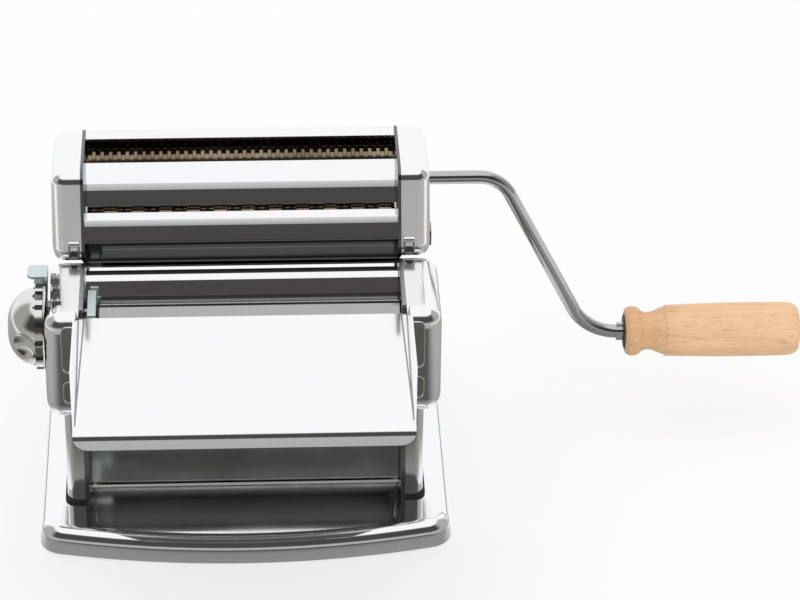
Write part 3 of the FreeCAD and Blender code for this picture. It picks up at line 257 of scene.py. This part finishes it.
# Colour, roughness, how far the roughness varies, strength and scale of the grain, and what else a metal has
metals = {
    "chrome": (chrome_colour, 0.035, 0.04, 0.012, 300.0, {}),
    # Chrome with a painted dark reflection by height, for the front cover
    "front_chrome_painted_reflection": (chrome_colour, 0.04, 0.04, 0.012, 300.0, {"heights": front_cover_painted_reflection}),
    "case_chrome": ((0.925, 0.93, 0.935), 0.10, 0.05, 0.012, 300.0, {}),
    "plate_steel": ((0.17, 0.175, 0.185), 0.2, 0.1, 0.05, 500.0, {}),
    "tray_steel": ((0.935, 0.94, 0.95), 0.07, 0.05, 0.02, 500.0, {"stretch": (0.05, 1, 1)}),
    "roller_steel": ((0.43, 0.43, 0.42), 0.13, 0.08, 0.06, 900.0, {"stretch": (0.03, 1, 1)}),
    "ring_steel": ((0.36, 0.29, 0.205), 0.13, 0.12, 0.1, 900.0,
                   {"stretch": (1, 0.05, 0.05), "tint": (0.20, 0.15, 0.10)}),
    "zinc_plate": ((0.70, 0.77, 0.79), 0.22, 0.12, 0.08, 400.0, {"tint": (0.62, 0.74, 0.72)}),
    "frame_steel": ((0.34, 0.35, 0.37), 0.16, 0.1, 0.05, 500.0, {}),
    "panel_steel": ((0.90, 0.93, 0.90), 0.12, 0.08, 0.03, 500.0, {"stretch": (0.05, 1, 1)}),
    "gear_steel": ((0.40, 0.40, 0.41), 0.28, 0.12, 0.2, 600.0, {}),
    "crank_steel": ((0.52, 0.52, 0.52), 0.07, 0.05, 0.05, 500.0, {"stretch": (1, 1, 0.08)}),
    "dial_metal": ((0.78, 0.765, 0.74), 0.07, 0.05, 0.03, 300.0, {}),
}
materials = {}
for name, (*values, extra) in metals.items():
    materials[name] = metal(name, *values, **extra)
materials["bush_plastic"] = dull("bush_plastic", (0.02, 0.02, 0.02), 0.5)
materials["rubber"] = dull("rubber", (0.012, 0.012, 0.012), 0.65)
materials["beech"] = beech("beech")


def finish_frame_nodes():
    """Each node wears its slot's look, apart from those that the photo shows brighter, duller or darker."""
    looks = {"pawl_bracket": "chrome"}
    for side in sides:
        looks["cutter_" + side + "_plate"] = "plate_steel"
        looks[side + "_gear_case"] = "case_chrome"
        looks[side + "_side_cover"] = "case_chrome"
    for name, obj in nodes.items():
        look = looks.get(name, slot_of[name])
        for slot in obj.material_slots:
            slot.material = materials[look]


# Meshes

on_axis = 1e-7
wire_resolution = 3


def mesh_from(name, bm):
    bmesh.ops.recalc_face_normals(bm, faces=bm.faces)
    mesh = bpy.data.meshes.new(name)
    bm.to_mesh(mesh)
    bm.free()
    return mesh


def add_piece(name, mesh, body, slot, sharp=None):
    """Adds a mesh as a piece that rides on a body, smooth apart from edges above the sharp angle."""
    mesh.shade_smooth()
    if sharp:
        mesh.set_sharp_from_angle(angle=math.radians(sharp))
    mesh.materials.append(materials[slot])
    obj = bpy.data.objects.new(name, mesh)
    bpy.context.collection.objects.link(obj)
    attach(obj, body)
    return obj


def lathe(name, profile, y, z, body, slot, segments=96, sharp=30.0):
    """Solid turned about an axis along X through (y, z), from a profile of (x, radius) in metres."""
    bm = bmesh.new()
    rings = []
    for x, radius in profile:
        if radius < on_axis:
            rings.append([bm.verts.new((x, y, z))])
            continue
        ring = []
        for i in range(segments):
            angle = 2 * math.pi * i / segments
            ring.append(bm.verts.new((x, y + radius * math.cos(angle), z + radius * math.sin(angle))))
        rings.append(ring)
    for near, far in zip(rings, rings[1:]):
        for i in range(segments):
            j = (i + 1) % segments
            corners = [near[i % len(near)], near[j % len(near)], far[j % len(far)], far[i % len(far)]]
            distinct = []
            for corner in corners:
                if corner not in distinct:
                    distinct.append(corner)
            if len(distinct) > 2:
                bm.faces.new(distinct)
    return add_piece(name, mesh_from(name, bm), body, slot, sharp)


def tube(name, path, radius, body, slot):
    """Round wire along a list of points in metres."""
    curve = bpy.data.curves.new(name, "CURVE")
    curve.dimensions = "3D"
    curve.bevel_depth = radius
    curve.bevel_resolution = wire_resolution
    curve.use_fill_caps = True
    spline = curve.splines.new("POLY")
    spline.points.add(len(path) - 1)
    for point, place in zip(spline.points, path):
        point.co = (*place, 1)
    draft = bpy.data.objects.new(name, curve)
    bpy.context.collection.objects.link(draft)
    mesh = bpy.data.meshes.new_from_object(draft.evaluated_get(bpy.context.evaluated_depsgraph_get()))
    bpy.data.objects.remove(draft)
    mesh.name = name
    mesh.materials.clear()
    return add_piece(name, mesh, body, slot)


def centre_line(node):
    """Y and Z of a round node's axis, which runs along X."""
    low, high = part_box(node)
    return (low[1] + high[1]) / 2, (low[2] + high[2]) / 2


def in_metres(points):
    return [tuple(value * MM for value in point) for point in points]


# Cutter rollers, rounder than the frame's own

ring_radius = 9.0 * MM
ring_core_radius = 6.85 * MM
ring_chamfer = 0.2 * MM
ring_side_clearance = 0.1 * MM
roller_end = 73.0 * MM
journal_step = 77.0 * MM
journal_radius = 4.0 * MM
journal_tip_radius = 3.1 * MM
socket_depth = 13.0 * MM
socket_radius = 3.3 * MM
socket_wall_radius = 5.6 * MM
strips = {"narrow": 2.0 * MM, "wide": 6.5 * MM}
strip_half = {"narrow": 73.0 * MM, "wide": 71.5 * MM}
count_margin = 1e-6


def add_cutter_roller(kind, role):
    """Round rings with chamfered edges, a strip's width apart, between the journals."""
    node = kind + "_" + role + "_roller"
    y, z = centre_line(kind + "_" + role + "_gear")
    low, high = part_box(node)
    strip = strips[kind]
    count = int(2 * strip_half[kind] / strip + count_margin)
    start = -count * strip / 2
    profile = [
        (low[0], 0),
        (low[0], journal_tip_radius),
        (-journal_step, journal_tip_radius),
        (-journal_step, journal_radius),
        (-roller_end, journal_radius),
        (-roller_end, ring_core_radius),
    ]
    for i in range(0 if role == "driver" else 1, count, 2):
        x0 = start + i * strip + ring_side_clearance / 2
        x1 = x0 + strip - ring_side_clearance
        profile += [
            (x0, ring_core_radius),
            (x0, ring_radius - ring_chamfer),
            (x0 + ring_chamfer, ring_radius),
            (x1 - ring_chamfer, ring_radius),
            (x1, ring_radius - ring_chamfer),
            (x1, ring_core_radius),
        ]
    profile.append((roller_end, ring_core_radius))
    mouth = high[0]
    if role == "driver":
        profile += [
            (roller_end, socket_wall_radius),
            (mouth, socket_wall_radius),
            (mouth, socket_radius),
            (mouth - socket_depth, socket_radius),
            (mouth - socket_depth, 0),
        ]
    else:
        profile += [(roller_end, journal_radius), (mouth, journal_radius), (mouth, 0)]
    roller = lathe("turned_" + node, profile, y, z, kind + "_" + role, "ring_steel", segments=72)
    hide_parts(node)


# Bent sheet, rounder than the frame's own

# Y of the body's front face
body_front = -59 * MM
sheet_thickness = 0.8 * MM
arc_steps = 8


def rounded(points, radii):
    """Open path in (depth, height) with an arc at each inner corner."""
    path = [Vector(points[0])]
    for i in range(1, len(points) - 1):
        corner = Vector(points[i])
        back = (Vector(points[i - 1]) - corner).normalized()
        ahead = (Vector(points[i + 1]) - corner).normalized()
        half = back.angle(ahead) / 2
        reach = radii[i] / math.tan(half)
        start = corner + back * reach
        end = corner + ahead * reach
        for k in range(arc_steps + 1):
            share = k / arc_steps
            first = start.lerp(corner, share)
            path.append(first.lerp(corner.lerp(end, share), share))
    path.append(Vector(points[-1]))
    return path


def bent_sheet(name, node, points, radii, half, body):
    """Sheet bent along X over a rounded path in mm, its thickness to the path's right."""
    path = [p * MM for p in rounded(points, radii)]
    inner = []
    for i, point in enumerate(path):
        along = (path[min(i + 1, len(path) - 1)] - path[max(i - 1, 0)]).normalized()
        inner.append(point + Vector((along.y, -along.x)) * sheet_thickness)
    loop = path + inner[::-1]
    bm = bmesh.new()
    ends = []
    for x in (-half * MM, half * MM):
        ends.append([bm.verts.new((x, body_front + p.x, p.y)) for p in loop])
    count = len(loop)
    for i in range(count):
        j = (i + 1) % count
        bm.faces.new((ends[0][i], ends[0][j], ends[1][j], ends[1][i]))
    for end in ends:
        for i in range(len(path) - 1):
            bm.faces.new((end[i], end[i + 1], end[count - 2 - i], end[count - 1 - i]))
    obj = add_piece(name, mesh_from(name, bm), body, "chrome", sharp=32)
    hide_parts(node)
    return obj


head_cover_half = 73.7
# Each cover's path as (depth from the body's front, height), and the radius at each of its points
head_covers = {
    "front": (
        [(58, 113.1), (54, 113.1), (54, 126.4), (58.9, 132.3), (61.3, 134.9), (66, 135.6)],
        [0, 0.8, 1.2, 7, 1.5, 0],
    ),
    "ridge": (
        [(76.3, 133.0), (79.3, 139.5), (81.9, 142.3), (85.5, 145.0), (92, 147.7)],
        [0, 3, 3, 5, 0],
    ),
    "rear": (
        [(108, 151.6), (113.7, 153.7), (122, 147), (122, 127)],
        [0, 3, 4, 0],
    ),
}
guard_path = [(41.0, 105.0), (44.2, 111.0), (46.4, 113.0), (50.0, 113.6)]
guard_radii = [0, 2.5, 2, 0]
guard_half = 73.4


def add_head_covers():
    """The cutter head's three covers: a rolled front, a ridge between the feeds and the rear strip."""
    for place, (points, radii) in head_covers.items():
        name = "rolled_" + place + "_cover"
        node = place + "_head_cover"
        cover = bent_sheet(name, node, points, radii, head_cover_half, "cutter_head")
        # The front cover's chrome carries a painted dark reflection, darker below
        if place == "front":
            cover.data.materials[0] = materials["front_chrome_painted_reflection"]


def add_roller_guard():
    """Guard rolled over the rear roller, open towards the nip."""
    bent_sheet("rolled_guard", "roller_guard", guard_path, guard_radii, guard_half, "root")


# Wire, beads and other small trim

spring_wire = 0.42 * MM
spring_turns = 4
spring_steps = 24
# How far in front of and below the coil's end the leg bends, how far in front its foot is, and its height
spring_leg_bend = (0.2 * MM, 2.5 * MM)
spring_leg_lean = 1.5 * MM
spring_leg_foot = 118.5 * MM


def add_pawl_spring():
    """Coil round the pawl's pin, with one leg down to the housing."""
    low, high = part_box("pawl_spring")
    y, z = centre_line("pawl_spring")
    radius = (high[2] - low[2]) / 2 - spring_wire
    pitch_run = high[0] - low[0] - 2 * spring_wire
    count = spring_turns * spring_steps
    path = []
    for i in range(count + 1):
        angle = 2 * math.pi * i / spring_steps
        x = low[0] + spring_wire + pitch_run * i / count
        path.append((x, y + radius * math.cos(angle), z + radius * math.sin(angle)))
    x, end_y, end_z = path[-1]
    path.append((x, end_y - spring_leg_bend[0], end_z - spring_leg_bend[1]))
    path.append((x, end_y - spring_leg_lean, spring_leg_foot))
    spring = tube("wound_pawl_spring", path, spring_wire, "root", "gear_steel")
    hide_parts("pawl_spring")


def surface_under(node, x, y):
    """Height of the node's upper surface at a place."""
    mesh = nodes[node].data
    tree = BVHTree.FromPolygons([v.co for v in mesh.vertices], [list(p.vertices) for p in mesh.polygons])
    return tree.ray_cast(Vector((x, y, 1.0)), Vector((0, 0, -1)))[0].z


# X of a fold at its back end, and how far it spreads outwards towards the front, in mm
fold_x = 73.1
fold_spread = 1.5
fold_back_margin = 4 * MM
fold_front_margin = 9 * MM
fold_radius = 0.38 * MM


def add_tray_folds():
    """Pressed bead where the tray's floor turns up into its side walls, in darker steel than the tray as
    painted shade along the crease.
    """
    low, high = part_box("feed_tray")
    back = high[1] - fold_back_margin
    front = low[1] + fold_front_margin
    for label, side in sides.items():
        path = []
        for share in (0.0, 0.25, 0.5, 0.75, 1.0):
            x = side * (fold_x + fold_spread * share) * MM
            y = back + (front - back) * share
            path.append((x, y, surface_under("feed_tray", x, y)))
        tube("tray_fold_" + label, path, fold_radius, "tray", "frame_steel")


# Bottom and top of each recess, the X of its open and closed sides, and its corners' radius, in mm
recesses = {"lower": (72.0, 84.0), "upper": (89.0, 114.0)}
recess_open = 75.9
recess_closed = 83.7
recess_corner = 3
rim_radius = 0.28 * MM
rim_depth = 0.05 * MM


def add_recess_beads():
    """Rounded rim round the two recesses pressed into the front face of each housing."""
    for label, side in sides.items():
        for name, (bottom, top) in recesses.items():
            path = rounded(
                [(recess_open, bottom), (recess_closed, bottom), (recess_closed, top), (recess_open, top)],
                [0, recess_corner, recess_corner, 0],
            )
            wire = [(side * p.x * MM, body_front + rim_depth, p.y * MM) for p in path]
            tube("recess_rim_" + name + "_" + label, wire, rim_radius, "root", "chrome")


# Painted shade in the dial's notches: a black ring at their floor
notch_rim_depth = 0.9 * MM
notch_band = 3.5 * MM
notch_band_gap = 0.1 * MM
notch_inner_radius = 14 * MM


def add_notch_shadow():
    """Black ring of painted shade at the floor of the dial's notches."""
    low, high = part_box("thickness_dial")
    y, z = centre_line("thickness_dial")
    x0 = high[0] - notch_band
    x1 = high[0] - notch_band_gap
    outer = (high[2] - low[2]) / 2 - notch_rim_depth
    inner = notch_inner_radius
    profile = [(x0, inner), (x0, outer), (x1, outer), (x1, inner), (x0, inner)]
    lathe("notch_painted_shade", profile, y, z, "dial", "bush_plastic")


# The right clip's wire as (x, y, z), and each pin and stop as (x from the pin's lower X, radius), all in mm
clip_wire = [
    (76.6, -5.2, 126.0),
    (76.6, -6.9, 120.2),
    (77.4, -7.1, 119.4),
    (80.2, -7.1, 119.4),
    (81.0, -6.9, 120.2),
    (81.0, -5.2, 126.0),
]
clip_wire_radius = 0.55 * MM
clip_pin = [(0, 0), (0, 1.1), (0.3, 1.4), (5.3, 1.4), (5.6, 1.1), (5.6, 0)]
clip_pin_axis = (-5.3 * MM, 126.0 * MM)
clip_stop = [(1.4, 0), (1.4, 1.2), (4.2, 1.2), (4.2, 0)]
clip_stop_axis = (-6.7 * MM, 121.4 * MM)
# The lower X of each pin
clip_pin_start = {"left": -81.6, "right": 76.0}


def add_head_clips():
    """Wire clip, with its pin, at the foot of each gear case."""
    for label, side in sides.items():
        wire = in_metres([(side * x, y, z) for x, y, z in clip_wire])
        tube("head_clip_" + label, wire, clip_wire_radius, "cutter_head", "gear_steel")
        start = clip_pin_start[label]
        profile = in_metres([(start + x, r) for x, r in clip_pin])
        lathe("head_clip_pin_" + label, profile, *clip_pin_axis, "cutter_head", "chrome", segments=40)
        profile = in_metres([(start + x, r) for x, r in clip_stop])
        lathe("head_clip_stop_" + label, profile, *clip_stop_axis, "cutter_head", "bush_plastic", segments=32)


# Handle

handle_bore_depth = 6
handle_bore_radius = 3.3
# The handle's outline as (x from its bead end, radius) in mm
handle_outline = [
    (0, handle_bore_radius), (0, 9.8), (0.35, 10.7), (1.1, 11.5), (2.2, 12.05), (3.6, 12.2), (5.0, 12.1),
    (6.2, 11.7), (7.1, 11.1), (7.5, 10.7), (7.7, 10.3), (8.4, 9.9), (9.6, 9.35), (11, 9.15), (12.5, 9.3),
    (14, 9.75), (16, 10.6), (18, 11.4), (19.2, 11.85), (19.5, 11.95), (19.7, 12.3), (20.3, 12.55),
    (26, 12.75), (36, 13.0), (47, 13.25), (60, 13.3), (72, 13.25), (79, 13.15), (81.5, 12.9),
    (83.4, 12.3), (84.8, 11.3), (85.5, 10.2), (85.8, 8.8), (85.8, 0),
]
# Section of the black ring of painted shade at the handle's bead end, as (x from the handle's bead end,
# radius) in mm
handle_end_shade_section = [(-0.5, 3.4), (-0.5, 8.2), (-0.2, 8.6), (0.1, 8.6), (0.1, 3.4)]


def add_handle():
    """Turned handle with its bead, neck and step, and the hole that the crank's end turns in."""
    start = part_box("crank_handle")[0][0]
    y, z = centre_line("crank_handle")
    outline = [(handle_bore_depth, 0), (handle_bore_depth, handle_bore_radius)] + handle_outline
    profile = [(start + x * MM, r * MM) for x, r in outline]
    handle = lathe("turned_handle", profile, y, z, "handle", "beech", sharp=40.0)
    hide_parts("crank_handle")


def add_handle_end_shade():
    """Black ring of painted shade between the crank and the handle's bead end."""
    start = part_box("crank_handle")[0][0]
    y, z = centre_line("crank_handle")
    profile = [(start + x * MM, r * MM) for x, r in handle_end_shade_section]
    lathe("handle_end_shade", profile, y, z, "handle", "bush_plastic", segments=64)


# Studio: pale floor, white surroundings, soft light

floor_width = 6
floor_height = -0.0002
floor_white_share = 0.68
world_light = 0.97
light_target = (0, 0, 0.1)
# Place, target, width and height, and power in watts of each soft light
lights = {
    "key": ((-0.3, 0.2, 1.5), light_target, (1.4, 1.0), 4),
    "fill": ((0.9, -1.0, 1.0), light_target, (0.9, 0.9), 3),
    "low_fill": ((0.35, -1.3, 0.25), (0.2, 0, 0.08), (1.2, 0.4), 1.6),
}


def add_light(name, place, target, size, power):
    """Soft light that metal doesn't show."""
    data = bpy.data.lights.new(name, "AREA")
    data.shape = "RECTANGLE"
    data.size, data.size_y = size
    data.energy = power
    light = bpy.data.objects.new(name, data)
    light.location = place
    light.rotation_euler = (Vector(target) - Vector(place)).to_track_quat("-Z", "Y").to_euler()
    light.visible_glossy = False
    bpy.context.collection.objects.link(light)


def add_floor():
    mesh = bpy.data.meshes.new("floor")
    bm = bmesh.new()
    bmesh.ops.create_grid(bm, x_segments=1, y_segments=1, size=0.5)
    bm.to_mesh(mesh)
    bm.free()
    mesh.materials.append(floor_material())
    obj = bpy.data.objects.new("floor", mesh)
    obj.location = (0, 0, floor_height)
    obj.scale = (floor_width, floor_width, 1)
    bpy.context.collection.objects.link(obj)


def smooth(value, start, stop):
    """Eases from 0 at start to 1 at stop."""
    share = min(1.0, max(0.0, (value - start) / (stop - start)))
    return share * share * (3 - 2 * share)


def blend_colours(a, b, share):
    return tuple(x + (y - x) * share for x, y in zip(a, b))


def card(name, points, columns, colours):
    """Sheet seen in reflections only, as a photographer's card: a grid of points, each with its colour."""
    mesh = bpy.data.meshes.new(name)
    rows = len(points) // columns
    faces = []
    for i in range(rows - 1):
        for j in range(columns - 1):
            a = i * columns + j
            faces.append((a, a + 1, a + columns + 1, a + columns))
    mesh.from_pydata(points, [], faces)
    tint = mesh.color_attributes.new(name="tint", type="FLOAT_COLOR", domain="POINT")
    for place, colour in zip(tint.data, colours):
        place.color = (*colour, 1)
    material = bpy.data.materials.new(name)
    material.use_nodes = True
    tree = material.node_tree
    tree.nodes.remove(tree.nodes["Principled BSDF"])
    emission = tree.nodes.new("ShaderNodeEmission")
    attribute = tree.nodes.new("ShaderNodeAttribute")
    attribute.attribute_name = "tint"
    tree.links.new(attribute.outputs["Color"], emission.inputs["Color"])
    tree.links.new(emission.outputs["Emission"], tree.nodes["Material Output"].inputs["Surface"])
    mesh.materials.append(material)
    obj = bpy.data.objects.new(name, mesh)
    obj.visible_camera = False
    obj.visible_diffuse = False
    obj.visible_shadow = False
    obj.visible_transmission = False
    bpy.context.collection.objects.link(obj)


room_dark = (0.066, 0.064, 0.061)
room_low = (0.46, 0.46, 0.445)
room_side = (0.42, 0.415, 0.40)
room_white = (1.0, 1.0, 1.0)
floor_near = (0.28, 0.28, 0.265)
floor_ahead = (0.085, 0.083, 0.075)

room_radius = 2.4
room_rows = 33
room_columns = 67
room_lowest = -8
room_height_span = 76
room_half_turn = 132
# Elevations, in degrees, between which one tone of the room card gives way to the next
ground_edge = (-4, 0)
low_band_edge = (10, 19)
ceiling_edge = (51.5, 61)
# The same for azimuths
room_side_edge = (50, 78)
room_back_edge = (112, 130)

floor_card_height = 0.0009
floor_card_front = -0.078
floor_card_reach = 2.4
floor_card_columns = 73
floor_card_depths = [
    -0.6, -0.4, -0.25, -0.15, -0.08, -0.03, -0.02, -0.01, 0.0, 0.01, 0.02, 0.03, 0.045, 0.06, 0.08, 0.1, 0.13,
    0.17, 0.22, 0.3, 0.45, 0.7, 1.1, 1.7, 2.4,
]
# Distances, in metres, between which one tone of the floor card gives way to the next
near_edge = (0.005, 0.06)
ahead_edge = (0.17, 0.24)
floor_side_edge = (0.1, 0.24)
beside_start = (0.0, 0.02)
beside_edge = (0.11, 0.15)
white_behind = (0.2, 0.5)
white_aside = (0.5, 1.0)


def add_room_card():
    """The dark side of the room, round the camera's side of the machine, up to a bright ceiling."""
    points = []
    colours = []
    for i in range(room_rows):
        elevation = room_lowest + room_height_span * i / (room_rows - 1)
        for j in range(room_columns):
            azimuth = -room_half_turn + 2 * room_half_turn * j / (room_columns - 1)
            turn = math.radians(azimuth)
            points.append((
                room_radius * math.sin(turn),
                -room_radius * math.cos(turn),
                room_radius * math.tan(math.radians(elevation)),
            ))
            level = blend_colours(room_dark, room_low, smooth(elevation, *ground_edge))
            level = blend_colours(level, room_dark, smooth(elevation, *low_band_edge))
            level = blend_colours(level, room_side, smooth(abs(azimuth), *room_side_edge))
            share = max(smooth(elevation, *ceiling_edge), smooth(abs(azimuth), *room_back_edge))
            colours.append(blend_colours(level, room_white, share))
    card("room_card", points, room_columns, colours)


def add_floor_card():
    """Floor round the machine as metal sees it: dark ahead, lighter at the sides and white behind."""
    points = []
    colours = []
    for depth in floor_card_depths:
        for j in range(floor_card_columns):
            across = -floor_card_reach + 2 * floor_card_reach * j / (floor_card_columns - 1)
            across = across * abs(across) / floor_card_reach
            points.append((across, floor_card_front - depth, floor_card_height))
            colour = blend_colours(floor_near, floor_ahead, smooth(depth, *near_edge))
            colour = blend_colours(colour, room_low, smooth(depth, *ahead_edge))
            colour = blend_colours(colour, room_side, smooth(abs(across), *floor_side_edge))
            beside = smooth(-depth, *beside_start) * (1 - smooth(abs(across), *beside_edge))
            share = max(beside, smooth(-depth, *white_behind), smooth(abs(across), *white_aside))
            colours.append(blend_colours(colour, room_white, share))
    card("floor_card", points, floor_card_columns, colours)


def seen_share(tree, strength):
    """A strength where a ray comes from the camera, metal or glass, and 0 elsewhere."""
    path = tree.nodes.new("ShaderNodeLightPath")
    total = path.outputs["Is Camera Ray"]
    for name in ("Is Glossy Ray", "Is Transmission Ray"):
        join = tree.nodes.new("ShaderNodeMath")
        join.operation = "MAXIMUM"
        tree.links.new(total, join.inputs[0])
        tree.links.new(path.outputs[name], join.inputs[1])
        total = join.outputs[0]
    share = tree.nodes.new("ShaderNodeMath")
    share.operation = "MULTIPLY"
    share.inputs[1].default_value = strength
    tree.links.new(total, share.inputs[0])
    return share.outputs[0]


def floor_material():
    """Pale floor: seen nearly white, with the object's shadow."""
    material = bpy.data.materials.new("floor")
    material.use_nodes = True
    tree = material.node_tree
    surface = tree.nodes["Principled BSDF"]
    surface.inputs["Base Color"].default_value = (0.86, 0.86, 0.86, 1)
    surface.inputs["Roughness"].default_value = 0.25
    white = tree.nodes.new("ShaderNodeEmission")
    white.inputs["Color"].default_value = (1, 1, 1, 1)
    mix = tree.nodes.new("ShaderNodeMixShader")
    tree.links.new(seen_share(tree, floor_white_share), mix.inputs["Fac"])
    tree.links.new(surface.outputs["BSDF"], mix.inputs[1])
    tree.links.new(white.outputs["Emission"], mix.inputs[2])
    tree.links.new(mix.outputs["Shader"], tree.nodes["Material Output"].inputs["Surface"])
    return material


def add_world():
    """White to the camera and in metal, and a softer level where it lights the object."""
    world = bpy.data.worlds.new("studio")
    bpy.context.scene.world = world
    world.use_nodes = True
    tree = world.node_tree
    tree.nodes.clear()
    output = tree.nodes.new("ShaderNodeOutputWorld")
    light = tree.nodes.new("ShaderNodeBackground")
    light.inputs["Color"].default_value = (1, 1, 1, 1)
    light.inputs["Strength"].default_value = world_light
    white = tree.nodes.new("ShaderNodeBackground")
    white.inputs["Color"].default_value = (1, 1, 1, 1)
    mix = tree.nodes.new("ShaderNodeMixShader")
    tree.links.new(seen_share(tree, 1.0), mix.inputs["Fac"])
    tree.links.new(light.outputs["Background"], mix.inputs[1])
    tree.links.new(white.outputs["Background"], mix.inputs[2])
    tree.links.new(mix.outputs["Shader"], output.inputs["Surface"])


def add_studio():
    add_world()
    add_floor()
    add_room_card()
    add_floor_card()
    for name, values in lights.items():
        add_light(name, *values)


add_camera()
finish_frame_nodes()
for kind in ("narrow", "wide"):
    for role in ("driver", "driven"):
        add_cutter_roller(kind, role)
add_head_covers()
add_roller_guard()
add_pawl_spring()
add_handle()
add_handle_end_shade()
add_tray_folds()
add_recess_beads()
add_notch_shadow()
add_head_clips()
add_studio()

bpy.context.scene.view_settings.view_transform = "Standard"
